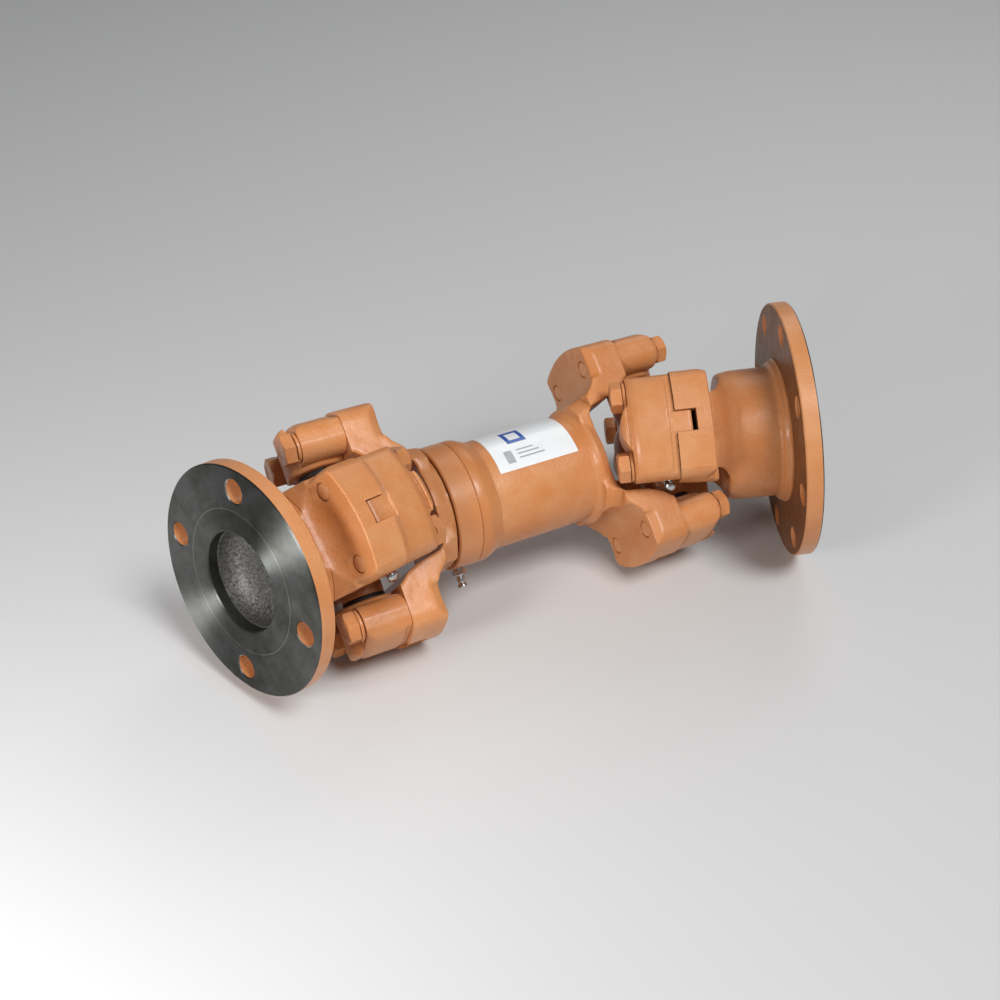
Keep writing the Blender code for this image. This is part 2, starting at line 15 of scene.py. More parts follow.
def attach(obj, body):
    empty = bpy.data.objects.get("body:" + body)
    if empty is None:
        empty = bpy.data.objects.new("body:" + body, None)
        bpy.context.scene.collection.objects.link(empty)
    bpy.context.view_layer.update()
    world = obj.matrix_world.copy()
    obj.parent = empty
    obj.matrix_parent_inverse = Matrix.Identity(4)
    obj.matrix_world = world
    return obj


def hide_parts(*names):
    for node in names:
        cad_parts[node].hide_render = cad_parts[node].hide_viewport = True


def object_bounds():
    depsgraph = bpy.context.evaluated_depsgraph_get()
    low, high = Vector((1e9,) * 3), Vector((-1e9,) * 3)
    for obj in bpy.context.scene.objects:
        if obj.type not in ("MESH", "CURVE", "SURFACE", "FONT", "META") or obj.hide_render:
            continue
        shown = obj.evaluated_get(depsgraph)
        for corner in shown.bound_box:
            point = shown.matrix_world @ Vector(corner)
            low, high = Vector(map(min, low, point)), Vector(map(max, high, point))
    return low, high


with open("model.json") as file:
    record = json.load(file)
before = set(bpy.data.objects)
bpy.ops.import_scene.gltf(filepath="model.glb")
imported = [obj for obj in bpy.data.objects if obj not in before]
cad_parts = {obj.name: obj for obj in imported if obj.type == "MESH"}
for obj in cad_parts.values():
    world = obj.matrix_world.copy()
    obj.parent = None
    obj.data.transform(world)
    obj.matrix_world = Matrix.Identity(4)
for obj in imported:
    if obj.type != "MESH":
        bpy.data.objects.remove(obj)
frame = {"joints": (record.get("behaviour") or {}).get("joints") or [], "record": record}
cad_box = [list(corner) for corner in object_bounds()]
JOINTS = {joint["name"]: joint for joint in frame["joints"]}
MOUNTS = {mount["name"]: mount for mount in frame["record"]["mounts"]}

# ---- shared by both joints: the plane between block and lug, and the circle the blocks turn in ----
GAP = 0.0003
PARTING = 0.01785
SWING_RADIUS = 0.0939
BOLT_OUT = 0.0715
BOLT_SIDE = 0.0288
BOLT_RADIUS = 0.0070
HOLE_RADIUS = 0.00715

# ---- wing bearing block ----
BOSS_RADIUS = 0.0140
BOSS_FACE = -0.0171
BLOCK_SIDE = 0.0418
BLOCK_CORNER = 0.0125
SPOT_RADIUS = 0.0134
CUP_RADIUS = 0.0256
CUP_INNER = 0.0540
BEARING_BORE = 0.0152
BORE_END = 0.0860
KEY_SIDE = 0.0086
KEY_LENGTH = 0.0132
KEY_LOW = CUP_INNER + 0.004
KEYWAY_DEPTH = 0.0165
STRIP_WIDTH = 0.0052
STRIP_STEP = 0.0012

# ---- cross and needle bearing ----
TRUNNION_RADIUS = 0.0122
TRUNNION_END = 0.0800
SHOULDER_RADIUS = 0.0172
SHOULDER_END = 0.0500
CROSS_CORE = 0.0280
NIPPLE_BOSS_RADIUS = 0.0070
NIPPLE_BOSS_END = 0.0460
NIPPLE_TURN = math.radians(135)

# ---- grease nipples: length, corner radius of the hexagon, radius of the ball head ----
CROSS_NIPPLE = (0.0220, 0.0063, 0.0047)
SLIP_NIPPLE = (0.0170, 0.0056, 0.0040)
NIPPLE_FOOT = 0.0050
BALL_HALF_LENGTH = 0.0026

# ---- bolts and washers ----
WASHER_RADIUS = 0.0120
WASHER_THICK = 0.0036
HEAD_ACROSS_FLATS = 0.0220
HEAD_END = -0.0306
BOLT_TIP = 0.0468
BOLT_PLACES = [(0, side * BOLT_SIDE, BOLT_OUT) for side in (-1, 1)]

# ---- yoke lugs ----
LUG_FACE = PARTING + GAP
LUG_BACK = 0.0470
LUG_SIDE = 0.0435
LUG_CORNER = 0.0120
LUG_RADIUS = 0.0960
PAST_LUGS = -0.05
CROTCH_MOUTH = 0.0545
CROTCH_HALF = 0.0385
CROTCH_DEPTH = 0.0630
CROTCH_CORNER = 0.0100

# ---- flanges ----
LEFT_FACE = 0.0974
LEFT_THICK = 0.0136
LEFT_RADIUS = 0.0900
LEFT_BORE = 0.0390
LEFT_FLOOR = 0.0700
LEFT_HUB = 0.0560
LEFT_PCD_RADIUS = 0.0730
LEFT_HOLE_ANGLE = math.radians(40.0)
LEFT_HOLE_RADIUS = 0.0092
RIGHT_FACE = 0.1275
RIGHT_THICK = 0.0139
RIGHT_RADIUS = 0.1080
RIGHT_BORE = 0.0450
RIGHT_FLOOR = 0.1170
RIGHT_HUB = 0.0552
RIGHT_PCD_RADIUS = 0.0930
RIGHT_HOLE_RADIUS = 0.0085
RIGHT_HOLE_COUNT = 8
RIM_DEPTH = 0.0090
FACE_GROOVE = 0.63
# BACK_SLOT is the back of a flange; on the right flange it takes the paint darkened as painted shade
PAINT_SLOT, STEEL_SLOT, IRON_SLOT, BACK_SLOT = range(4)

# ---- sliding spline, along the shaft from the left joint centre ----
NECK_RADIUS = 0.0470
COVER_RADIUS = 0.0503
COVER_START = 0.0780
COVER_END = 0.0985
COVER_WALL = 0.0035
CAP_END = 0.1170
SLEEVE_RADIUS = 0.0450
SLEEVE_START = 0.0840
SPLINE_MAJOR = 0.0350
SLIP_NIPPLE_AT = 0.0850
SLIP_NIPPLE_ANGLE = math.radians(-168)

# ---- label on the sleeve ----
LABEL_START = 0.1255
LABEL_END = 0.1960
LABEL_FIRST_ANGLE = math.radians(10)
LABEL_LAST_ANGLE = math.radians(85)
LABEL_LIFT = 0.00018
LABEL_THICKNESS = 0.00012
LABEL_PLAIN_UV = (0.02, 0.02)

# ---- a lamp that the left face mirrors: slope of the fans in the picture, and tilt ----
GLINT_SLOPE = (1.0, 0.6)
GLINT_TILT = 0.9
GLINT_DISTANCE = 0.75

# ---- camera, as the object is seen ----
CAMERA_FROM_LEFT_JOINT = Vector((-0.28153, -0.77791, 0.58876))
CAMERA_TURN = (math.radians(55.969), math.radians(-0.227), math.radians(-28.264))
CAMERA_LENS = 46.784

FLOOR_HALF_SIDE = 40.0

# ---- casting, and how far a cutting tool reaches past what it cuts ----
CAST_VOXEL = 0.0011
BLOCK_VOXEL = 0.0007
CROSS_VOXEL = 0.0010
CLEAR = 0.12


# ======== frames ========


def basis(origin, x_axis, z_axis):
    """A right-handed frame whose X is exact and whose Z is as near as it can be."""
    x = Vector(x_axis).normalized()
    z = Vector(z_axis)
    z = (z - z.dot(x) * x).normalized()
    matrix = Matrix((x, z.cross(x), z)).transposed().to_4x4()
    matrix.translation = Vector(origin)
    return matrix


def joint_frames():
    """The frames of the four yokes and two crosses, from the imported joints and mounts."""
    left = JOINTS["left_cross_pivot"]
    right = JOINTS["right_cross_pivot"]
    along = Vector(JOINTS["slip"]["axis"])
    left_pin = Vector(JOINTS["left_flange_pivot"]["axis"])
    right_pin = Vector(JOINTS["right_flange_pivot"]["axis"])
    upright = Vector(left["axis"])
    left_out = MOUNTS["left_flange_face"]["axis"]
    right_out = MOUNTS["right_flange_face"]["axis"]
    return {
        "shaft_yoke": basis(left["pos_m"], along, upright),
        "sleeve_yoke": basis(right["pos_m"], -along, upright),
        "left_flange": basis(left["pos_m"], left_out, left_pin),
        "right_flange": basis(right["pos_m"], right_out, -right_pin),
        "left_cross": basis(left["pos_m"], left_pin.cross(upright), upright),
        "right_cross": basis(right["pos_m"], right_pin.cross(upright), upright),
    }


FRAMES = joint_frames()
BODIES = {
    "shaft_yoke": "shaft_yoke",
    "sleeve_yoke": "sleeve_yoke",
    "left_flange": "left_flange_yoke",
    "right_flange": "right_flange_yoke",
}
JOINT_SPACING = (FRAMES["sleeve_yoke"].translation - FRAMES["shaft_yoke"].translation).length


# ======== mesh tools ========


def mesh_from(name, bm, sharp=35):
    bmesh.ops.recalc_face_normals(bm, faces=bm.faces)
    mesh = bpy.data.meshes.new(name)
    bm.to_mesh(mesh)
    bm.free()
    mesh.shade_smooth()
    mesh.set_sharp_from_angle(angle=math.radians(sharp))
    return mesh


def new_object(name, data):
    obj = bpy.data.objects.new(name, data)
    bpy.context.scene.collection.objects.link(obj)
    return obj


def bake(obj):
    """Applies every modifier of an object."""
    bpy.context.view_layer.update()
    evaluated = obj.evaluated_get(bpy.context.evaluated_depsgraph_get())
    mesh = bpy.data.meshes.new_from_object(evaluated)
    obj.modifiers.clear()
    obj.data = mesh
    return obj


def boolean(obj, tool_mesh, operation="DIFFERENCE"):
    """One Boolean with a closed mesh in the object's own frame."""
    tool = new_object("tool", tool_mesh)
    modifier = obj.modifiers.new("cut", "BOOLEAN")
    modifier.operation = operation
    modifier.object = tool
    modifier.solver = "MANIFOLD"
    bake(obj)
    bpy.data.objects.remove(tool, do_unlink=True)


def cast(obj, voxel, rounds):
    """Fuses an object's shells and rounds every edge, as sand casting does."""
    remesh = obj.modifiers.new("fuse", "REMESH")
    remesh.mode = "VOXEL"
    remesh.voxel_size = voxel
    smooth = obj.modifiers.new("round", "SMOOTH")
    smooth.factor = 0.5
    smooth.iterations = rounds
    return bake(obj)


def roughen(obj, height, scale, seed, within=None):
    """Moves vertices a little along their normals, as a cast skin is never quite even."""
    offset = Vector((seed * 3.1, seed * 1.7, seed * 2.3))
    mesh = obj.data
    places = [vertex.co.copy() for vertex in mesh.vertices]
    normals = [vertex.normal.copy() for vertex in mesh.vertices]
    made = []
    for place, normal in zip(places, normals):
        if within is None or within(place):
            place = place + normal * noise.fractal(place * scale + offset, 0.8, 2.0, 3) * height
        made.extend(place)
    mesh.vertices.foreach_set("co", made)
    mesh.update()


def mesh_of(obj):
    """The mesh of a finished tool, whose object goes."""
    mesh = obj.data
    bpy.data.objects.remove(obj)
    return mesh


def shade(obj, angle=35):
    obj.data.shade_smooth()
    obj.data.set_sharp_from_angle(angle=math.radians(angle))
    weighted = obj.modifiers.new("even_normals", "WEIGHTED_NORMAL")
    weighted.keep_sharp = True
    return obj


def softened(points, radius, closed=False, cuts=3):
    """The same line with its corners rounded."""
    made = []
    count = len(points)
    for index, point in enumerate(points):
        if not closed and index in (0, count - 1):
            made.append(tuple(point))
            continue
        here = Vector(point)
        before = Vector(points[index - 1]) - here
        after = Vector(points[(index + 1) % count]) - here
        first = here + before.normalized() * min(radius, before.length * 0.45)
        last = here + after.normalized() * min(radius, after.length * 0.45)
        for step in range(cuts + 1):
            share = step / cuts
            side = first.lerp(here, share)
            made.append(tuple(side.lerp(here.lerp(last, share), share)))
    return made


def arc(centre, radius, start, end, count):
    """Points on an arc, with its angles in degrees."""
    angles = [math.radians(start + (end - start) * step / count) for step in range(count + 1)]
    return [(centre[0] + radius * math.cos(a), centre[1] + radius * math.sin(a)) for a in angles]


def hexagon(corner):
    return arc((0, 0), corner, 0, 300, 5)


def rounded_corner(side, radius, corner):
    """The arc that rounds off where the line y = side meets a circle about the origin."""
    y = side - corner
    z = math.sqrt((radius - corner) ** 2 - y * y)
    turn = math.degrees(math.atan2(z, y))
    return arc((y, z), corner, 0, turn, 8), turn


def mirrored(half):
    """A closed outline from its half with v >= 0."""
    return half + [(u, -v) for u, v in reversed(half)]


def lathe(name, profile, steps):
    """Turns (x, radius) points about X. A profile that is off the axis closes on itself."""
    bm = bmesh.new()
    turns = [2 * math.pi * step / steps for step in range(steps)]
    rings = []
    for x, radius in profile:
        if radius < 1e-7:
            rings.append([bm.verts.new((x, 0, 0))])
        else:
            ring = [(x, radius * math.cos(a), radius * math.sin(a)) for a in turns]
            rings.append([bm.verts.new(point) for point in ring])
    pairs = list(zip(rings, rings[1:]))
    if min(len(ring) for ring in rings) > 1:
        pairs.append((rings[-1], rings[0]))
    for low, high in pairs:
        for step in range(steps):
            ahead = (step + 1) % steps
            corners = [low[step % len(low)], low[ahead % len(low)]]
            corners += [high[ahead % len(high)], high[step % len(high)]]
            corners = list(dict.fromkeys(corners))
            if len(corners) > 2:
                bm.faces.new(corners)
    return mesh_from(name, bm)


def turned_solid(name, line, steps):
    """Turns a line about X, and closes it to the axis at both ends."""
    return lathe(name, [(line[0][0], 0.0), *line, (line[-1][0], 0.0)], steps)


def prism(name, outline, low, high, plane):
    """A flat outline, extruded along the axis that the plane leaves out."""
    order = {"XZ": (0, 2, 1), "YZ": (2, 0, 1), "XY": (0, 1, 2)}[plane]

    def corners(level):
        return [bm.verts.new([(u, v, level)[index] for index in order]) for u, v in outline]

    bm = bmesh.new()
    bottom = corners(low)
    top = corners(high)
    bm.faces.new(bottom)
    bm.faces.new(top)
    for index in range(len(outline)):
        ahead = (index + 1) % len(outline)
        bm.faces.new((bottom[index], bottom[ahead], top[ahead], top[index]))
    return mesh_from(name, bm)


def block_tool(low, high):
    outline = [(low[0], low[1]), (high[0], low[1]), (high[0], high[1]), (low[0], high[1])]
    return prism("block_tool", outline, low[2], high[2], "XY")


def turned(mesh, axis):
    """Turns a mesh that was made along X so that it points along another axis."""
    if axis == "Z":
        mesh.transform(Matrix.Rotation(-math.pi / 2, 4, "Y"))
    if axis == "Y":
        mesh.transform(Matrix.Rotation(math.pi / 2, 4, "Z"))
    return mesh


def moved(mesh, offset):
    mesh.transform(Matrix.Translation(offset))
    return mesh


def hole_tool(radius, start, end, chamfer, position):
    """A drill along X that flares at both ends, where it leaves a countersunk edge."""
    reach = 0.004
    flared = radius + chamfer + reach
    profile = [(start - reach, flared), (start + chamfer, radius)]
    profile += [(end - chamfer, radius), (end + reach, flared)]
    return moved(turned_solid("hole", profile, 48), (0, *position))


def give_materials(obj, materials):
    obj.data.materials.clear()
    for material in materials:
        obj.data.materials.append(material)
    return obj


def add_piece(obj, place, body, slot, replaces=()):
    """Moves a finished piece's mesh to its place, and lets it ride there for CAD nodes.

    Its own coordinates stay on the mesh as an attribute, which the materials read.
    """
    mesh = obj.data
    own = mesh.attributes.new("own_place", "FLOAT_VECTOR", "POINT")
    own.data.foreach_set("vector", [value for vertex in mesh.vertices for value in vertex.co])
    mesh.transform(place)
    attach(obj, body)
    if replaces:
        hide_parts(*replaces)


# ======== bearing blocks ========


def block_outline():
    """The block seen along the shaft: two bolt bosses under one outer arc, as (y, z)."""
    right_boss = arc((BOLT_SIDE, BOLT_OUT), BOSS_RADIUS, -105, -5, 16)
    left_boss = arc((-BOLT_SIDE, BOLT_OUT), BOSS_RADIUS, 185, 285, 16)
    right, turn = rounded_corner(BLOCK_SIDE + 0.0006, SWING_RADIUS, BLOCK_CORNER)
    left = [(-y, z) for y, z in reversed(right)]
    outer = arc((0, 0), SWING_RADIUS, turn, 180 - turn, 32)
    return right_boss + right + outer + left + left_boss


def bearing_housing():
    """The round housing of the needle bearing, under the block's own outer arc."""
    profile = [(CUP_INNER, CUP_RADIUS - 0.0015), (CUP_INNER + 0.002, CUP_RADIUS)]
    profile.append((SWING_RADIUS + 0.002, CUP_RADIUS))
    housing = new_object("housing", turned(turned_solid("housing", profile, 96), "Z"))
    swing = [
        (-CUP_RADIUS - 0.001, SWING_RADIUS - 0.0075),
        (-CUP_RADIUS + 0.0010, SWING_RADIUS - 0.0038),
        (-CUP_RADIUS + 0.0036, SWING_RADIUS - 0.0012),
        (-CUP_RADIUS + 0.0075, SWING_RADIUS),
        (0.06, SWING_RADIUS),
    ]
    boolean(housing, turned_solid("swing", swing, 160), "INTERSECT")
    return mesh_of(housing)


def drive_key():
    """The tongue that takes the torque into the lug's keyway, sloping off at its end."""
    tip = PARTING + KEY_LENGTH
    top = 0.0927
    outline = [(0.004, KEY_LOW), (tip, KEY_LOW), (tip, top - 0.0009), (tip - 0.0022, top), (0.004, top)]
    mesh = prism("key", softened(outline, 0.0008, closed=True), -KEY_SIDE, KEY_SIDE, "XZ")
    bm = bmesh.new()
    bm.from_mesh(mesh)
    caps = [face for face in bm.faces if abs(face.normal.y) > 0.9]
    edges = {edge for face in caps for edge in face.edges}
    bmesh.ops.bevel(bm, geom=list(edges), offset=0.0005, segments=2, affect="EDGES")
    return mesh_from("key", bm)


def bearing_block():
    """A cast wing block, machined on its parting face, bore, spot faces and bolt holes."""
    past_parting = PARTING + 0.002
    body = prism("bearing_block", block_outline(), BOSS_FACE - 0.0006, past_parting, "YZ")
    block = new_object("bearing_block", body)
    boolean(block, bearing_housing(), "UNION")
    strip = PARTING - STRIP_WIDTH
    lowered = SWING_RADIUS - STRIP_STEP
    beyond = past_parting + 0.01
    ring = [(strip, lowered), (strip, CLEAR), (beyond, CLEAR), (beyond, lowered)]
    boolean(block, lathe("strip", ring, 160))
    end = BOSS_FACE - 0.002
    rounding = [
        (end, SWING_RADIUS - 0.0042),
        (end, CLEAR),
        (BOSS_FACE + 0.0055, CLEAR),
        (BOSS_FACE + 0.0055, SWING_RADIUS),
        (BOSS_FACE + 0.0022, SWING_RADIUS - 0.0011),
    ]
    boolean(block, lathe("rounding", rounding, 160))
    for place in BOLT_PLACES:
        room = [(-0.05, SPOT_RADIUS), (BOSS_FACE - 0.0006, SPOT_RADIUS)]
        boolean(block, moved(turned_solid("bolt_room", room, 64), place))
    cast(block, BLOCK_VOXEL, 6)
    roughen(block, 0.00005, 160, 1)
    boolean(block, block_tool((PARTING, -0.06, 0.03), (0.04, 0.06, 0.11)))
    for place in BOLT_PLACES:
        spot = [(-0.03, SPOT_RADIUS - 0.0006), (BOSS_FACE, SPOT_RADIUS - 0.0006)]
        boolean(block, moved(turned_solid("spot_face", spot, 64), place))
        boolean(block, hole_tool(HOLE_RADIUS, BOSS_FACE, PARTING, 0.0004, place[1:]))
    bore = [
        (0.045, BEARING_BORE + 0.010),
        (CUP_INNER + 0.0006, BEARING_BORE + 0.0006),
        (CUP_INNER + 0.0012, BEARING_BORE),
        (BORE_END, BEARING_BORE),
    ]
    boolean(block, turned(turned_solid("bore", bore, 96), "Z"))
    boolean(block, drive_key(), "UNION")
    return shade(block)


# ======== bolts, washers, bearings ========


def hex_bolt():
    """A hexagon bolt along X with a chamfered, slightly dished head."""
    head_start = BOSS_FACE - WASHER_THICK - GAP
    corner = HEAD_ACROSS_FLATS / math.sqrt(3)
    bolt = new_object("hex_bolt", prism("hex_bolt", hexagon(corner), HEAD_END, head_start, "YZ"))
    half = HEAD_ACROSS_FLATS / 2
    crown = [
        (HEAD_END, half * 0.90),
        (HEAD_END + 0.0016, corner + 0.0001),
        (head_start - 0.0006, corner + 0.0001),
        (head_start, corner - 0.0004),
    ]
    boolean(bolt, turned_solid("crown", crown, 96), "INTERSECT")
    dish = [(HEAD_END - 0.001, half * 0.66), (HEAD_END, half * 0.66), (HEAD_END + 0.0005, half * 0.58)]
    boolean(bolt, turned_solid("dish", dish, 64))
    shank = [
        (head_start - 0.003, BOLT_RADIUS),
        (BOLT_TIP - 0.0012, BOLT_RADIUS),
        (BOLT_TIP, BOLT_RADIUS - 0.0012),
    ]
    boolean(bolt, turned_solid("shank", shank, 64), "UNION")
    bevel = bolt.modifiers.new("edges", "BEVEL")
    bevel.width = 0.00035
    bevel.segments = 2
    bevel.limit_method = "ANGLE"
    bevel.angle_limit = math.radians(40)
    return shade(bake(bolt), 40)


def lock_washer():
    """A split spring washer: a flat bar bent round, its two ends a little apart."""
    bm = bmesh.new()
    split = math.radians(9)
    offset_of_ends = 0.0007
    steps = 72
    edge = 0.0004
    low = BOSS_FACE - WASHER_THICK + edge
    high = BOSS_FACE - GAP - edge
    inner = HOLE_RADIUS + 0.0002
    section = [(low, inner + edge), (low, WASHER_RADIUS - edge), (low + edge, WASHER_RADIUS)]
    section += [(high - edge, WASHER_RADIUS), (high, WASHER_RADIUS - edge), (high, inner + edge)]
    rings = []
    for step in range(steps + 1):
        share = step / steps
        angle = split / 2 + (2 * math.pi - split) * share
        rise = (share - 0.5) * offset_of_ends
        ring = [(x + rise, r * math.cos(angle), r * math.sin(angle)) for x, r in section]
        rings.append([bm.verts.new(point) for point in ring])
    for first, second in zip(rings, rings[1:]):
        for index in range(len(section)):
            ahead = (index + 1) % len(section)
            bm.faces.new((first[index], first[ahead], second[ahead], second[index]))
    bm.faces.new(rings[0])
    bm.faces.new(rings[-1])
    return shade(new_object("lock_washer", mesh_from("lock_washer", bm)))


def needle_bearing():
    """The bearing's drawn cup and, at its open end, the rubber seal with two lips."""
    start = SHOULDER_END + GAP
    end = BORE_END - 0.003
    inner = 0.0126
    outer = BEARING_BORE - GAP
    seal = CUP_INNER - GAP
    lip = SHOULDER_RADIUS
    profile = [(end, inner), (end, outer - 0.0008), (end - 0.0008, outer), (seal, outer)]
    profile += [(seal, lip - 0.0006), (seal - 0.0005, lip), (start + 0.0022, lip)]
    profile += [(start + 0.0018, lip - 0.0007), (start + 0.0013, lip - 0.0007), (start + 0.0009, lip)]
    profile += [(start + 0.0003, lip - 0.0002), (start, lip - 0.0008)]
    profile += [(start, inner + 0.0004), (start + 0.0004, inner)]
    return shade(new_object("needle_bearing", turned(lathe("needle_bearing", profile, 96), "Z")))


# ======== crosses and nipples ========


def cross_body():
    """A forged cross: a round core, four shouldered arms, ground trunnions and a nipple boss."""
    bm = bmesh.new()
    bmesh.ops.create_uvsphere(bm, u_segments=48, v_segments=24, radius=CROSS_CORE)
    cross = new_object("cross", mesh_from("cross", bm))
    arm = [(-SHOULDER_END, SHOULDER_RADIUS), (SHOULDER_END, SHOULDER_RADIUS)]
    for axis in "YZ":
        boolean(cross, turned(turned_solid("arm", arm, 96), axis), "UNION")
    boss = [(0.01, 0.0085), (0.034, 0.0085), (0.037, NIPPLE_BOSS_RADIUS)]
    boss.append((NIPPLE_BOSS_END - 0.0006, NIPPLE_BOSS_RADIUS))
    boss.append((NIPPLE_BOSS_END, NIPPLE_BOSS_RADIUS - 0.0006))
    boss_mesh = turned(turned_solid("boss", boss, 48), "Z")
    boss_mesh.transform(Matrix.Rotation(NIPPLE_TURN, 4, "X"))
    boolean(cross, boss_mesh, "UNION")
    cast(cross, CROSS_VOXEL, 10)
    roughen(cross, 0.00015, 140, 4)
    chamfer = 0.001
    trunnion = [(-TRUNNION_END, TRUNNION_RADIUS - chamfer), (chamfer - TRUNNION_END, TRUNNION_RADIUS)]
    trunnion += [(-x, radius) for x, radius in reversed(trunnion)]
    for axis in "YZ":
        boolean(cross, turned(turned_solid("trunnion", trunnion, 72), axis), "UNION")
    return shade(cross)


def grease_nipple(length, corner, ball_radius):
    """A grease nipple along +Z: a hexagon foot, a waisted neck and a ball head."""
    foot = NIPPLE_FOOT
    nipple = new_object("nipple", prism("nipple", hexagon(corner), 0.0012, foot, "YZ"))
    flat = corner - 0.0006
    chamfer = [(0.0, flat), (0.0006, corner), (foot - 0.0006, corner), (foot, flat)]
    boolean(nipple, turned_solid("chamfer", chamfer, 48), "INTERSECT")
    ball = length - BALL_HALF_LENGTH
    stem = [(0.0, 0.0), (0.0, 0.0044), (0.0011, 0.0044), (0.0013, 0.0036), (foot + 0.0002, 0.0036)]
    stem += [(foot + 0.0010, 0.0030), (ball - 0.0046, 0.0033), (ball - 0.0030, 0.0026)]
    turns = [math.radians(degrees) for degrees in range(123, 14, -12)]
    head = [(ball + BALL_HALF_LENGTH * math.cos(a), ball_radius * math.sin(a)) for a in turns]
    tip = [(length - 0.0001, 0.0008), (length - 0.0004, 0.0)]
    boolean(nipple, lathe("head", stem + head + tip, 48), "UNION")
    nipple.data = turned(nipple.data, "Z")
    return shade(nipple, 40)


# ======== yoke castings ========


def crotch_outline():
    """The open side of a yoke between its lugs, as (x, z): a flared mouth and a rounded end."""
    corner = (CROTCH_DEPTH - CROTCH_CORNER, CROTCH_HALF - CROTCH_CORNER)
    half = [(-0.03, CROTCH_MOUTH), (LUG_FACE, CROTCH_MOUTH), (0.0260, 0.0470), (0.0380, 0.0415)]
    half = softened(half + arc(corner, CROTCH_CORNER, 68, 0, 8), 0.004)
    return mirrored(half)


def arms_outline(neck_radius, neck_end, fillet):
    """Both arms of a yoke seen from the side, as (x, z), still joined across the crotch."""
    root = arc((LUG_BACK + fillet, neck_radius + fillet), fillet, 180, 270, 14)
    over = LUG_RADIUS + 0.003
    half = [(LUG_FACE - 0.002, over), (LUG_BACK + 0.001, over)]
    half += root + [(neck_end, neck_radius)]
    return mirrored(half)


def turned_envelope(hub_side):
    """What the lathe leaves of a casting: the hub side's (x, radius) points, then the lugs'."""
    lugs = [(0.0600, 0.0630), (0.0537, 0.0710), (LUG_BACK + 0.0006, 0.0810)]
    lugs += [(LUG_BACK, LUG_RADIUS - 0.0010), (LUG_BACK - 0.0010, LUG_RADIUS), (PAST_LUGS, LUG_RADIUS)]
    return turned_solid("envelope", hub_side + lugs, 192)


def chamfer_and_round_lugs(yoke):
    """Takes off the back edges of both lugs, and rounds their outer corners."""
    for end in (-1, 1):
        for side in (-1, 1):
            outer = side * (LUG_SIDE + 0.0040)
            corner = [(0.0395, side * (LUG_SIDE + 0.0002)), (0.0500, side * (LUG_SIDE - 0.0052))]
            corner += [(0.0500, outer), (0.0395, outer)]
            low, high = sorted((end * 0.060, end * 0.110))
            boolean(yoke, prism("corner", corner, low, high, "XY"))
            edge, turn = rounded_corner(LUG_SIDE, LUG_RADIUS, LUG_CORNER)
            beyond = LUG_RADIUS * 1.2
            turn = math.radians(turn)
            edge.append((beyond * math.cos(turn), beyond * math.sin(turn)))
            edge += [(beyond * 0.8, beyond), (beyond * 0.8, edge[0][1])]
            outside = [(side * y, end * z) for y, z in edge]
            boolean(yoke, prism("round_corner", outside, -0.06, 0.06, "YZ"))


def rough_casting(name, hub_line, neck_radius, neck_end, fillet, shoulder):
    """Two lugs on a turned hub, with the crotch left open and every edge rounded."""
    outline = arms_outline(neck_radius, neck_end, fillet)
    yoke = new_object(name, prism(name, outline, -LUG_SIDE, LUG_SIDE, "XZ"))
    swing = [
        (0.100, 0.0520),
        (0.0700, 0.0520 + shoulder * 0.25),
        (0.0600, 0.0560 + shoulder * 0.5),
        (0.0537, 0.0625 + shoulder * 0.65),
        (LUG_BACK + 0.0015, 0.0692 + shoulder),
        (LUG_BACK + 0.0015, LUG_RADIUS + 0.002),
        (PAST_LUGS, LUG_RADIUS + 0.002),
    ]
    boolean(yoke, turned_solid("swing", swing, 160), "INTERSECT")
    chamfer_and_round_lugs(yoke)
    boolean(yoke, turned_solid("hub", hub_line, 160), "UNION")
    boolean(yoke, prism("crotch", crotch_outline(), -0.07, 0.07, "XZ"))
    return cast(yoke, CAST_VOXEL, 9)


def machine_lugs(yoke):
    """The flat seats, keyways and bolt holes of both lugs."""
    boolean(yoke, block_tool((-0.08, -CLEAR, -CLEAR), (LUG_FACE, CLEAR, CLEAR)))
    side = KEY_SIDE + GAP
    floor = KEY_LOW - GAP
    for low, high in ((-0.110, -floor), (floor, 0.110)):
        boolean(yoke, block_tool((0.0, -side, low), (LUG_FACE + KEYWAY_DEPTH, side, high)))
    for end in (-1, 1):
        for _, y, z in BOLT_PLACES:
            boolean(yoke, hole_tool(HOLE_RADIUS, LUG_FACE, LUG_BACK, 0.0002, (y, end * z)))


def flange_bore(face, radius, floor, seed):
    """The recess of a flange: a machined rim round a bowl that is left as cast."""
    rim = face - RIM_DEPTH
    bowl = radius - 0.0012
    depth = rim - floor
    cuts = 24
    profile = []
    for step in range(cuts + 1):
        angle = math.pi / 2 * step / cuts
        profile.append((rim - depth * math.cos(angle) ** 0.8, bowl * math.sin(angle) ** 0.62))
    profile += [(rim, radius), (face - 0.0010, radius), (face + 0.004, radius + 0.005), (face + 0.004, 0.0)]
    tool = new_object("bore", lathe("bore", profile, 160))
    roughen(tool, 0.00035, 240, seed, lambda place: place.x < rim - 0.0005)
    return mesh_of(tool)


def circle_points(radius, angles):
    """The bolt holes of a flange, as (y, z)."""
    return [Vector((radius * math.cos(a), radius * math.sin(a))) for a in angles]


LEFT_HOLES = circle_points(
    LEFT_PCD_RADIUS, [sign * LEFT_HOLE_ANGLE + turn for turn in (0, math.pi) for sign in (-1, 1)]
)
RIGHT_HOLES = circle_points(
    RIGHT_PCD_RADIUS, [2 * math.pi * hole / RIGHT_HOLE_COUNT for hole in range(RIGHT_HOLE_COUNT)]
)


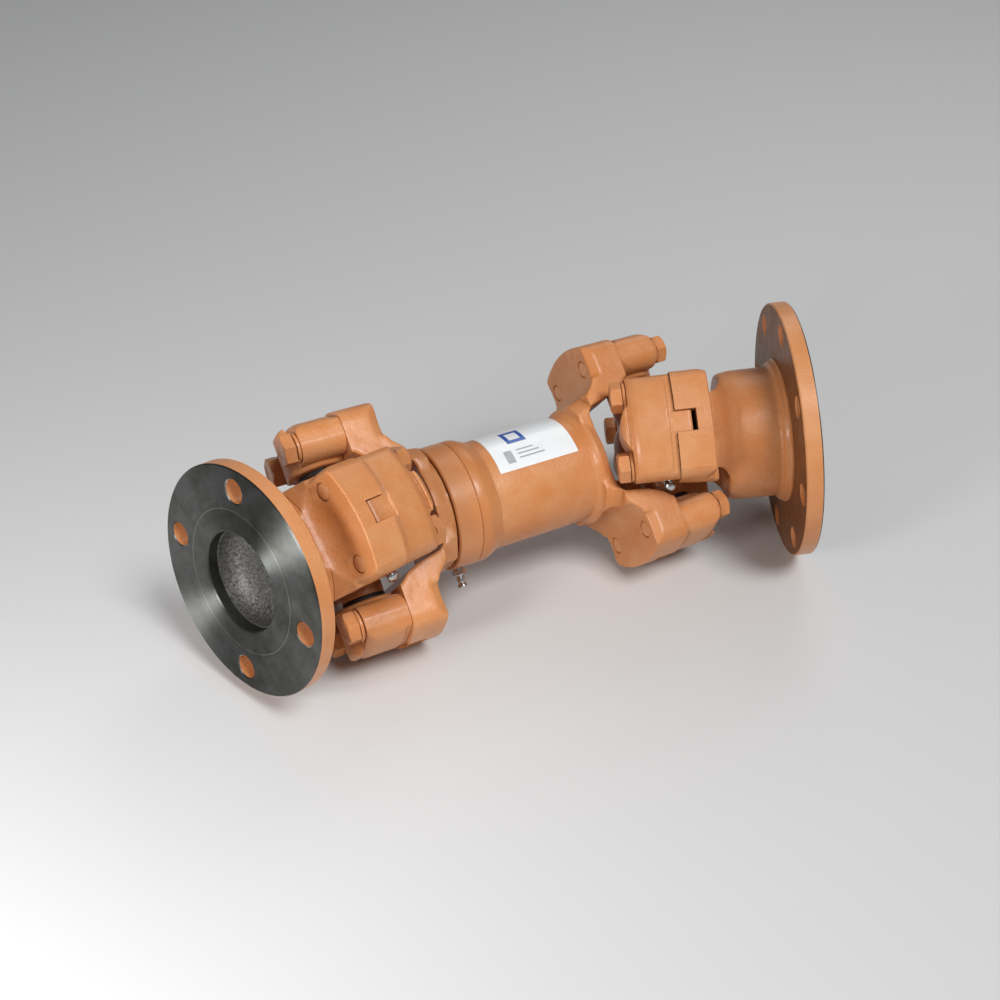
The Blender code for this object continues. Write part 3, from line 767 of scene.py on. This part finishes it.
def machine_flange(yoke, face, back, radius, root, recess, drill, holes):
    """Turns a flange's rim and face down to its root, then cuts the lugs, recess and bolt holes."""
    edge = 0.0010
    rim = [(face, radius - edge), (face - edge, radius), (back + edge, radius), (back, radius - edge)]
    boolean(yoke, turned_envelope(rim + root), "INTERSECT")
    machine_lugs(yoke)
    boolean(yoke, flange_bore(face, *recess))
    hole_radius, chamfer = drill
    for place in holes:
        boolean(yoke, hole_tool(hole_radius, back, face, chamfer, place))
    return shade(yoke)


def left_flange_yoke():
    back = LEFT_FACE - LEFT_THICK
    hub = [
        (LEFT_FACE + 0.001, LEFT_RADIUS + 0.001),
        (back - 0.001, LEFT_RADIUS + 0.001),
        (back - 0.001, LEFT_HUB + 0.006),
        (back - 0.005, LEFT_HUB + 0.0028),
    ]
    hub += [(0.070, LEFT_HUB + 0.0008), (0.060, LEFT_HUB - 0.0006), (0.054, LEFT_HUB - 0.0040)]
    yoke = rough_casting("left_flange_yoke", hub, 0.0555, LEFT_FLOOR - 0.006, 0.019, 0.0108)
    roughen(yoke, 0.00011, 130, 2)
    root = [(back, LEFT_HUB + 0.0055), (0.060, LEFT_HUB + 0.0045)]
    recess = (LEFT_BORE, LEFT_FLOOR, 5)
    drill = (LEFT_HOLE_RADIUS, 0.0008)
    return machine_flange(yoke, LEFT_FACE, back, LEFT_RADIUS, root, recess, drill, LEFT_HOLES)


def right_flange_yoke():
    back = RIGHT_FACE - RIGHT_THICK
    hub = [
        (RIGHT_FACE + 0.001, RIGHT_RADIUS + 0.001),
        (back - 0.001, RIGHT_RADIUS + 0.001),
        (back - 0.001, RIGHT_HUB + 0.0052),
        (back - 0.0055, RIGHT_HUB + 0.0040),
        (back - 0.0070, RIGHT_HUB),
    ]
    hub += [(0.075, RIGHT_HUB), (0.067, RIGHT_HUB - 0.0012), (0.060, RIGHT_HUB - 0.0038)]
    hub += [(0.052, RIGHT_HUB - 0.0052), (0.044, RIGHT_HUB - 0.0052)]
    yoke = rough_casting("right_flange_yoke", hub, 0.0490, 0.0525, 0.005, -0.002)
    roughen(yoke, 0.00013, 150, 3)
    root = [(back, RIGHT_HUB + 0.0062), (0.060, RIGHT_HUB + 0.0062)]
    recess = (RIGHT_BORE, RIGHT_FLOOR, 9)
    drill = (RIGHT_HOLE_RADIUS, 0.0007)
    return machine_flange(yoke, RIGHT_FACE, back, RIGHT_RADIUS, root, recess, drill, RIGHT_HOLES)


def spline_shaft_yoke():
    """The yoke that carries the male spline; the stub itself runs inside the sleeve."""
    hub = [(COVER_START - GAP, NECK_RADIUS + 0.0005), (0.074, NECK_RADIUS)]
    hub += [(0.069, 0.0495), (0.062, 0.0502), (0.056, 0.0460)]
    yoke = rough_casting("spline_shaft_yoke", hub, NECK_RADIUS, 0.074, 0.020, 0.0108)
    roughen(yoke, 0.00009, 120, 6)
    boolean(yoke, turned_envelope([(COVER_START - GAP, 0.053), (0.060, 0.0565)]), "INTERSECT")
    machine_lugs(yoke)
    fit = SPLINE_MAJOR - 0.003
    stub = [(0.060, 0.0300), (COVER_START + 0.004, 0.0300), (0.0835, fit), (0.120, fit)]
    boolean(yoke, turned_solid("stub", stub, 96), "UNION")
    return shade(yoke)


def spline_sleeve_yoke():
    """The yoke with the long plain tube, female splined, that slides under the cover."""
    open_end = JOINT_SPACING - SLEEVE_START
    hub = [(0.0785, 0.0458), (0.0765, 0.0462), (0.0740, 0.0494), (0.0710, 0.0497)]
    hub += [(0.060, 0.0440), (0.056, 0.0390)]
    yoke = rough_casting("spline_sleeve_yoke", hub, NECK_RADIUS - 0.001, 0.074, 0.022, 0.0108)
    roughen(yoke, 0.00009, 120, 7)
    boolean(yoke, turned_envelope([(0.100, 0.053), (0.060, 0.0565)]), "INTERSECT")
    tube = [(0.066, SLEEVE_RADIUS), (open_end - 0.0012, SLEEVE_RADIUS)]
    tube += [(open_end, SLEEVE_RADIUS - 0.0012), (open_end, SPLINE_MAJOR), (0.130, SPLINE_MAJOR)]
    boolean(yoke, turned_solid("tube", tube, 192), "UNION")
    machine_lugs(yoke)
    return shade(yoke)


# ======== materials ========


class Shader:
    """A node material, with short ways to add and link its nodes."""

    def __init__(self, name):
        self.material = bpy.data.materials.new(name)
        self.material.use_nodes = True
        self.tree = self.material.node_tree
        self.surface = self.tree.nodes["Principled BSDF"]
        self.place = self.add("ShaderNodeAttribute", attribute_name="own_place").outputs["Vector"]

    def add(self, kind, inputs=None, **settings):
        node = self.tree.nodes.new(kind)
        for key, value in settings.items():
            setattr(node, key, value)
        for key, value in (inputs or {}).items():
            self.feed(node.inputs[key], value)
        return node

    def feed(self, socket, value):
        if isinstance(value, bpy.types.NodeSocket):
            self.tree.links.new(value, socket)
        else:
            socket.default_value = value

    def set(self, **inputs):
        names = {"colour": "Base Color", "roughness": "Roughness", "metallic": "Metallic"}
        names.update(normal="Normal", coat="Coat Weight", coat_roughness="Coat Roughness")
        names.update(anisotropic="Anisotropic", tangent="Tangent", specular="Specular IOR Level")
        for key, value in inputs.items():
            self.feed(self.surface.inputs[names[key]], value)

    def noise(self, scale, detail=4.0, roughness=0.55, vector=None):
        place = self.place if vector is None else vector
        inputs = {"Vector": place, "Scale": scale, "Detail": detail, "Roughness": roughness}
        return self.add("ShaderNodeTexNoise", inputs).outputs["Fac"]

    def ramp(self, factor, stops):
        """A colour ramp: stops are (position, value), where a value is a grey or a colour."""
        node = self.add("ShaderNodeValToRGB", {"Fac": factor})
        elements = node.color_ramp.elements
        while len(elements) < len(stops):
            elements.new(0.5)
        for element, (position, value) in zip(elements, stops):
            element.position = position
            element.color = (value, value, value, 1.0) if isinstance(value, float) else (*value, 1.0)
        return node.outputs["Color"]

    def math(self, operation, first, second=0.0):
        return self.add("ShaderNodeMath", {0: first, 1: second}, operation=operation).outputs[0]

    def mix(self, factor, first, second):
        node = self.add("ShaderNodeMix", data_type="RGBA")
        self.feed(node.inputs[0], factor)
        for socket, value in ((node.inputs[6], first), (node.inputs[7], second)):
            self.feed(socket, (*value, 1.0) if isinstance(value, tuple) and len(value) == 3 else value)
        return node.outputs[2]

    def bump(self, height, distance, strength=1.0, normal=None):
        inputs = {"Height": height, "Distance": distance, "Strength": strength}
        if normal is not None:
            inputs["Normal"] = normal
        return self.add("ShaderNodeBump", inputs).outputs["Normal"]

    def vector(self, operation, first, second=(0.0, 0.0, 0.0)):
        return self.add("ShaderNodeVectorMath", {0: first, 1: second}, operation=operation)

    def radius(self):
        """The distance from the piece's own X axis."""
        flat = self.vector("MULTIPLY", self.place, (0.0, 1.0, 1.0)).outputs[0]
        return self.vector("LENGTH", flat).outputs["Value"]

    def away_from_axis(self, place):
        """The direction straight out from a frame's X axis, in world space, as the body stands."""
        parts = self.add("ShaderNodeSeparateXYZ", {0: self.place})
        axes = []
        for number, letter in ((1, "Y"), (2, "Z")):
            axis = self.vector("SCALE", tuple(place.col[number][:3]))
            self.feed(axis.inputs["Scale"], parts.outputs[letter])
            axes.append(axis.outputs[0])
        outward = {"Vector": self.vector("ADD", *axes).outputs[0]}
        turn = self.add("ShaderNodeVectorTransform", outward, convert_from="OBJECT", convert_to="WORLD")
        return turn.outputs[0]


ORANGE = (0.575, 0.215, 0.066)
ORANGE_DEEP = (0.45, 0.138, 0.032)
ORANGE_DUSTY = (0.62, 0.280, 0.118)


def orange_paint(name, grain, painted_shade=0.0):
    """Sprayed enamel over a casting: orange peel, uneven film and dust, painted shade in its creases, and
    lighter edges that are partly wear, partly a painted highlight. Grain is the cast skin; the last
    argument darkens the whole paint and drops its gloss, as a painted shade.
    """
    s = Shader(name)
    patches = s.ramp(s.noise(34, 5.0), [(0.35, 0.0), (0.65, 1.0)])
    colour = s.mix(patches, ORANGE, ORANGE_DUSTY)
    thin = s.ramp(s.noise(12, 3.0), [(0.42, 0.0), (0.75, 0.55)])
    colour = s.mix(thin, colour, ORANGE_DEEP)
    edge = s.add("ShaderNodeNewGeometry").outputs["Pointiness"]
    # lighter convex edges: partly thin, worn paint and partly a painted highlight
    lip = s.ramp(edge, [(0.52, 0.0), (0.62, 0.5)])
    colour = s.mix(lip, colour, (0.72, 0.32, 0.14))
    # painted shade: darker paint in hollows and creases
    painted_crease_shade = s.ramp(edge, [(0.36, 0.55), (0.47, 0.0)])
    colour = s.mix(painted_crease_shade, colour, (0.20, 0.055, 0.015))
    specks = s.ramp(s.noise(420, 2.0), [(0.73, 0.0), (0.76, 0.7)])
    colour = s.mix(specks, colour, (0.24, 0.09, 0.04))
    gloss = s.ramp(s.noise(60, 4.0), [(0.3, 0.30), (0.7, 0.46)])
    peel = s.bump(s.noise(700, 2.0), 0.00008, 0.6)
    skin = s.bump(s.noise(430, 5.0, 0.6), 0.0007 * grain, 0.8, peel)
    # painted shade: the last argument darkens the whole paint and lowers its coat and specular, for a face
    # that lies in shade
    colour = s.mix(painted_shade, colour, (0.060, 0.021, 0.008))
    s.set(colour=colour, roughness=gloss, normal=skin, coat=0.22 * (1 - painted_shade), coat_roughness=0.2)
    s.set(specular=0.28 * (1 - painted_shade))
    return s.material


def turned_steel(name, place, face_radius):
    """Bare steel turned about a frame's X axis: fine rings, and stains of oil and hands."""
    s = Shader(name)
    radius = s.radius()
    line = s.add("ShaderNodeCombineXYZ", {"X": radius, "Y": 0.0, "Z": 0.0}).outputs[0]
    rings = s.noise(2600, 2.0, 0.6, line)
    broad = s.noise(300, 2.0, 0.6, line)
    stains = s.ramp(s.noise(26, 6.0, 0.65), [(0.42, 0.0), (0.68, 1.0)])
    colour = s.mix(broad, (0.125, 0.128, 0.122), (0.185, 0.190, 0.182))
    colour = s.mix(s.math("MULTIPLY", stains, 0.75), colour, (0.070, 0.062, 0.045))
    from_groove = s.math("ABSOLUTE", s.math("SUBTRACT", radius, FACE_GROOVE * face_radius))
    groove = s.math("LESS_THAN", from_groove, 0.00025)
    colour = s.mix(groove, colour, (0.34, 0.33, 0.30))
    rough = s.mix(stains, s.ramp(rings, [(0.3, 0.44), (0.7, 0.54)]), (0.60, 0.60, 0.60))
    tangent = s.away_from_axis(place)
    s.set(colour=colour, roughness=rough, metallic=1.0, anisotropic=0.95, tangent=tangent)
    s.set(normal=s.bump(rings, 0.00003, 0.5))
    return s.material


def cast_iron(name):
    """Bare casting skin inside the flange recesses: dark, grainy and dull."""
    s = Shader(name)
    grains = s.noise(520, 6.0, 0.7)
    colour = s.ramp(grains, [(0.35, (0.060, 0.058, 0.055)), (0.7, (0.30, 0.29, 0.28))])
    rough = s.ramp(grains, [(0.3, 0.42), (0.7, 0.62)])
    s.set(colour=colour, roughness=rough, metallic=0.75, normal=s.bump(grains, 0.0005, 0.9))
    return s.material


def zinc_plate(name):
    """Bright zinc with a faint grey bloom."""
    s = Shader(name)
    bloom = s.ramp(s.noise(300, 5.0), [(0.4, 0.0), (0.7, 1.0)])
    colour = s.mix(bloom, (0.62, 0.64, 0.66), (0.42, 0.43, 0.42))
    rough = s.ramp(s.noise(420, 3.0), [(0.3, 0.16), (0.7, 0.34)])
    s.set(colour=colour, roughness=rough, metallic=1.0, normal=s.bump(s.noise(900), 0.00004, 0.5))
    return s.material


def ground_steel(name):
    """Hardened trunnions and bearing cups, with fine grinding lines and a film of grease."""
    s = Shader(name)
    lines = s.noise(1500, 2.0)
    grease = s.ramp(s.noise(80, 4.0), [(0.45, 0.0), (0.7, 0.8)])
    colour = s.mix(grease, (0.34, 0.34, 0.33), (0.10, 0.075, 0.045))
    rough = s.ramp(lines, [(0.3, 0.18), (0.7, 0.34)])
    s.set(colour=colour, roughness=rough, metallic=1.0, normal=s.bump(lines, 0.00003, 0.4))
    return s.material


def black_rubber(name):
    """Moulded seal rubber, with a little paint mist and grease on it."""
    s = Shader(name)
    mist = s.ramp(s.noise(160, 5.0), [(0.55, 0.0), (0.8, 0.5)])
    colour = s.mix(mist, (0.018, 0.017, 0.016), (0.22, 0.085, 0.03))
    rough = s.ramp(s.noise(300), [(0.3, 0.45), (0.7, 0.7)])
    s.set(colour=colour, roughness=rough, normal=s.bump(s.noise(700), 0.00006, 0.6))
    return s.material


def printed_label(name):
    """Glossy white film with a hollow blue square, grey bars and dots: no lettering and no mark."""
    s = Shader(name)
    uv = s.add("ShaderNodeTexCoord").outputs["UV"]
    parts = s.add("ShaderNodeSeparateXYZ", {0: uv})
    u = parts.outputs["X"]
    v = parts.outputs["Y"]

    def band(value, low, high):
        above = s.math("GREATER_THAN", value, low)
        below = s.math("LESS_THAN", value, high)
        return s.math("MULTIPLY", above, below)

    def patch(left, right, low, high):
        return s.math("MULTIPLY", band(u, left, right), band(v, low, high))

    dirt = s.ramp(s.noise(90, 5.0), [(0.5, 0.0), (0.8, 0.25)])
    colour = s.mix(dirt, (0.80, 0.82, 0.83), (0.62, 0.62, 0.60))
    blue = patch(0.26, 0.50, 0.42, 0.74)
    colour = s.mix(blue, colour, (0.015, 0.085, 0.36))
    hollow = patch(0.31, 0.45, 0.49, 0.67)
    colour = s.mix(hollow, colour, (0.78, 0.80, 0.82))
    for index in range(3):
        low = 0.14 + 0.065 * index
        bar = patch(0.30, 0.62 - 0.05 * index, low, low + 0.022)
        colour = s.mix(bar, colour, (0.35, 0.37, 0.40))
    dots = s.add("ShaderNodeTexChecker", {"Vector": uv, "Scale": 60.0})
    square = s.math("MULTIPLY", patch(0.14, 0.24, 0.10, 0.30), dots.outputs["Fac"])
    colour = s.mix(square, colour, (0.05, 0.05, 0.06))
    s.set(colour=colour, roughness=0.28, coat=0.4, coat_roughness=0.1)
    s.set(normal=s.bump(s.noise(160, 3.0), 0.0001, 0.3))
    return s.material


def floor_paint(name):
    s = Shader(name)
    shade_of_grey = s.ramp(s.noise(0.8, 2.0), [(0.3, 0.60), (0.7, 0.66)])
    s.set(colour=shade_of_grey, roughness=0.6)
    return s.material


# ======== assembly ========


def mark_faces(obj, rule):
    """Gives each face the material whose number the rule returns for its centre and normal."""
    for face in obj.data.polygons:
        face.material_index = rule(face.center, face.normal)


def flange_rule(face, radius, bore, holes):
    """Paint outside, bare steel on the turned face and lip, cast skin in the recess, and the back, which
    can take a darker paint as painted shade.
    """
    recess_start = 0.064
    hub_edge = bore + 0.018
    paint_round_hole = 0.012

    def rule(centre, normal):
        out = math.hypot(centre.y, centre.z)
        if out > radius - 0.0002:
            return PAINT_SLOT
        if out < bore + 0.0004 and centre.x > recess_start:
            in_lip = centre.x > face - RIM_DEPTH + 0.0001 and out > bore - 0.0004
            return STEEL_SLOT if in_lip else IRON_SLOT
        # the flange's back face, which on the right flange takes a painted shade
        if centre.x < face - 0.008 and normal.x < -0.9 and out > hub_edge:
            return BACK_SLOT
        if centre.x > face - 0.0011:
            near_hole = min((Vector((centre.y, centre.z)) - hole).length for hole in holes)
            return STEEL_SLOT if normal.x > 0.3 or near_hole > paint_round_hole else PAINT_SLOT
        return PAINT_SLOT

    return rule


def add_yokes(paint, iron, shaded_back_paint):
    left_steel = turned_steel("left_face", FRAMES["left_flange"], LEFT_RADIUS)
    left = give_materials(left_flange_yoke(), [paint, left_steel, iron, paint])
    mark_faces(left, flange_rule(LEFT_FACE, LEFT_RADIUS, LEFT_BORE, LEFT_HOLES))
    right_steel = turned_steel("right_face", FRAMES["right_flange"], RIGHT_RADIUS)
    # its back takes the paint darkened as painted shade, for a face that lies in shade
    right = give_materials(right_flange_yoke(), [paint, right_steel, iron, shaded_back_paint])
    mark_faces(right, flange_rule(RIGHT_FACE, RIGHT_RADIUS, RIGHT_BORE, RIGHT_HOLES))
    made = {
        "left_flange": (left, "left_flange_yoke"),
        "right_flange": (right, "right_flange_yoke"),
        "shaft_yoke": (give_materials(spline_shaft_yoke(), [paint]), "spline_shaft_yoke"),
        "sleeve_yoke": (give_materials(spline_sleeve_yoke(), [paint]), "spline_sleeve_yoke"),
    }
    for key, (obj, node) in made.items():
        obj.name = node + "_casting"
        add_piece(obj, FRAMES[key], BODIES[key], "orange_paint", [node])


def copy_of(source, name):
    return new_object(name, source.data.copy())


def remove_sources(*sources):
    for source in sources:
        bpy.data.objects.remove(source)


def add_bearings(paint, steel, rubber):
    """Two blocks on each yoke, with their bearings, bolts and washers."""
    block = give_materials(bake(bearing_block()), [paint])
    bearing = give_materials(bake(needle_bearing()), [steel, rubber])
    mark_faces(bearing, lambda centre, normal: int(centre.z < CUP_INNER - GAP / 2))
    bolt = give_materials(bake(hex_bolt()), [paint])
    washer = give_materials(bake(lock_washer()), [paint])
    for key, body in BODIES.items():
        for end, turn in enumerate((0, math.pi), start=1):
            around = FRAMES[key] @ Matrix.Rotation(turn, 4, "X")
            stem = f"{key}_bearing_block_{end}"
            add_piece(copy_of(block, stem + "_casting"), around, body, "orange_paint", [stem])
            stem = f"{key}_needle_bearing_{end}"
            add_piece(copy_of(bearing, stem + "_fine"), around, body, "bearing_steel", [stem])
            for number, side in enumerate((-1, 1), start=2 * end - 1):
                spot = around @ Matrix.Translation((0, side * BOLT_SIDE, BOLT_OUT))
                as_tightened = math.radians(17.0 * number + 23.0 * len(key))
                spin = Matrix.Rotation(as_tightened, 4, "X")
                for source, kind in ((bolt, "bolt"), (washer, "lock_washer")):
                    stem = f"{key}_{kind}_{number}"
                    add_piece(copy_of(source, stem + "_fine"), spot @ spin, body, "orange_paint", [stem])
    remove_sources(block, bearing, bolt, washer)


def add_crosses(paint, zinc):
    cross = give_materials(bake(cross_body()), [paint])
    nipple = give_materials(bake(grease_nipple(*CROSS_NIPPLE)), [zinc])
    outward = Matrix.Rotation(NIPPLE_TURN, 4, "X")
    foot = outward @ Matrix.Translation((0, 0, NIPPLE_BOSS_END + GAP))
    for side in ("left", "right"):
        key = f"{side}_cross"
        add_piece(copy_of(cross, key + "_forging"), FRAMES[key], key, "orange_paint", [key])
        node = f"{key}_grease_nipple"
        add_piece(copy_of(nipple, node + "_fine"), FRAMES[key] @ foot, key, "zinc_plate", [node])
    remove_sources(cross, nipple)


def add_slip_parts(paint, rubber, zinc):
    """Cover tube, seal cap, wiper seal and grease nipple, all fixed to the shaft yoke."""
    inner = COVER_RADIUS - COVER_WALL
    end = COVER_END - GAP
    shoulder = CAP_END - 0.008
    wiper_inner = SLEEVE_RADIUS + GAP
    outer = COVER_RADIUS
    cover = [(end, inner), (end, outer - 0.0005), (end - 0.0005, outer)]
    cover += [(COVER_START + 0.0010, outer), (COVER_START, outer - 0.0010), (COVER_START, inner)]
    cap = [
        (CAP_END, wiper_inner),
        (CAP_END, SLEEVE_RADIUS + 0.0008),
        (CAP_END - 0.0022, SLEEVE_RADIUS + 0.0017),
        (CAP_END - 0.0070, 0.0490),
        (CAP_END - 0.0110, 0.0505),
        (CAP_END - 0.0150, outer + 0.0003),
        (COVER_END + 0.0005, outer),
        (COVER_END, outer - 0.0005),
        (COVER_END, inner + 0.0008),
        (shoulder, inner + 0.0008),
        (shoulder, wiper_inner),
    ]
    wiper = [(shoulder - GAP, wiper_inner), (shoulder - GAP, inner + 0.0005)]
    wiper += [(COVER_END + 0.002, inner + 0.0005), (COVER_END + 0.002, wiper_inner + 0.0003)]
    wiper += [(COVER_END + 0.004, wiper_inner), (COVER_END + 0.006, wiper_inner + 0.0004)]
    place = FRAMES["shaft_yoke"]
    for name, profile, slot, material in (
        ("spline_cover_tube", cover, "orange_paint", paint),
        ("seal_cap", softened(cap[:8], 0.003, cuts=4) + cap[8:], "orange_paint", paint),
        ("wiper_seal", wiper, "black_rubber", rubber),
    ):
        obj = shade(new_object(name + "_turned", lathe(name, profile, 192)), 30)
        add_piece(give_materials(obj, [material]), place, "shaft_yoke", slot, [name])
    spin = Matrix.Rotation(SLIP_NIPPLE_ANGLE, 4, "X")
    on_cover = Matrix.Translation((0, 0, COVER_RADIUS + GAP))
    foot = Matrix.Translation((SLIP_NIPPLE_AT, 0, 0)) @ spin @ on_cover
    nipple = give_materials(grease_nipple(*SLIP_NIPPLE), [zinc])
    nipple.name = "slip_grease_nipple_fine"
    add_piece(nipple, place @ foot, "shaft_yoke", "zinc_plate", ["slip_grease_nipple"])


def add_label(material):
    """A thin film wrapped round the sleeve, with its print laid out in its own UV square."""
    bm = bmesh.new()
    layer = bm.loops.layers.uv.new("UVMap")
    columns = 24
    rows = 40
    radius = SLEEVE_RADIUS + LABEL_LIFT
    grid = {}
    for skin in (0, 1):
        for column in range(columns + 1):
            for row in range(rows + 1):
                u = column / columns
                v = row / rows
                x = LABEL_START + (LABEL_END - LABEL_START) * u
                angle = LABEL_FIRST_ANGLE + (LABEL_LAST_ANGLE - LABEL_FIRST_ANGLE) * (1 - v)
                out = radius + LABEL_THICKNESS * skin
                place = (x, -out * math.sin(angle), out * math.cos(angle))
                grid[skin, column, row] = bm.verts.new(place)

    def quad(corners, uvs):
        face = bm.faces.new([grid[corner] for corner in corners])
        for loop, uv in zip(face.loops, uvs):
            loop[layer].uv = uv

    for column in range(columns):
        for row in range(rows):
            cell = [(column, row), (column + 1, row), (column + 1, row + 1), (column, row + 1)]
            uvs = [(c / columns, r / rows) for c, r in cell]
            quad([(1, c, r) for c, r in cell], uvs)
            quad([(0, c, r) for c, r in reversed(cell)], uvs[::-1])
    rim = [((column, row), (column, row + 1)) for row in range(rows) for column in (0, columns)]
    rim += [((column, row), (column + 1, row)) for column in range(columns) for row in (0, rows)]
    for first, last in rim:
        quad([(0, *first), (1, *first), (1, *last), (0, *last)], [LABEL_PLAIN_UV] * 4)
    label = new_object("sleeve_label", mesh_from("sleeve_label", bm, 60))
    add_piece(give_materials(label, [material]), FRAMES["shaft_yoke"], "sleeve_yoke", "orange_paint")


def add_object_pieces():
    paint = orange_paint("orange_enamel_cast", 1.0)
    smooth_paint = orange_paint("orange_enamel_turned", 0.25)
    iron = cast_iron("cast_iron_skin")
    zinc = zinc_plate("zinc_plate")
    rubber = black_rubber("black_rubber")
    # the paint darkened, with less gloss: painted shade for the right flange's back
    add_yokes(paint, iron, orange_paint("orange_enamel_painted_shade", 1.0, 0.75))
    add_bearings(paint, ground_steel("ground_steel"), rubber)
    add_crosses(paint, zinc)
    add_slip_parts(smooth_paint, rubber, zinc)
    add_label(printed_label("printed_label"))


# ======== stage ========


def add_light(name, location, target, size, power):
    data = bpy.data.lights.new(name, "AREA")
    data.shape = "DISK"
    data.size = size
    data.energy = power
    light = new_object(name, data)
    light.location = location
    light.rotation_euler = (Vector(target) - Vector(location)).to_track_quat("-Z", "Y").to_euler()


def glint_on_the_left_face():
    """Where a lamp hangs so that the turned face throws two bright fans at the camera."""
    place = FRAMES["left_flange"]
    camera = bpy.context.scene.camera
    face = place @ Vector((LEFT_FACE, 0, 0))
    to_camera = (camera.location - face).normalized()
    view = camera.rotation_euler.to_matrix()
    seen = Matrix([[view.col[row].dot(place.col[side].to_3d()) for side in (1, 2)] for row in (0, 1)])
    y, z = seen.inverted() @ Vector(GLINT_SLOPE)
    slope = (place.to_3x3() @ Vector((0, y, z))).normalized()
    halfway = (place.col[0].to_3d() + slope * GLINT_TILT).normalized()
    to_lamp = 2 * to_camera.dot(halfway) * halfway - to_camera
    return face + to_lamp * GLINT_DISTANCE, face


def add_stage():
    bm = bmesh.new()
    bmesh.ops.create_grid(bm, x_segments=1, y_segments=1, size=FLOOR_HALF_SIDE)
    floor = new_object("floor", mesh_from("floor", bm))
    floor.location = (0, 0, min(0.0, cad_box[0][2]))
    floor.data.materials.append(floor_paint("floor_grey"))
    middle = (0.0, 0.0, 0.10)
    add_light("key", (0.45, -2.55, 3.70), middle, 1.7, 142)
    add_light("rim", (2.0, 1.9, 2.6), middle, 2.0, 16)
    add_light("face_glint", *glint_on_the_left_face(), 0.26, 4.6)
    world = bpy.data.worlds.new("studio")
    world.use_nodes = True
    background = world.node_tree.nodes["Background"]
    background.inputs["Color"].default_value = (0.86, 0.88, 0.90, 1.0)
    background.inputs["Strength"].default_value = 0.20
    bpy.context.scene.world = world


def add_camera():
    data = bpy.data.cameras.new("camera")
    data.lens = CAMERA_LENS
    data.clip_start = 0.01
    camera = new_object("camera", data)
    camera.location = FRAMES["shaft_yoke"].translation + CAMERA_FROM_LEFT_JOINT
    camera.rotation_euler = CAMERA_TURN
    bpy.context.scene.camera = camera


add_camera()
add_object_pieces()
add_stage()
bpy.context.scene.view_settings.view_transform = "Standard"
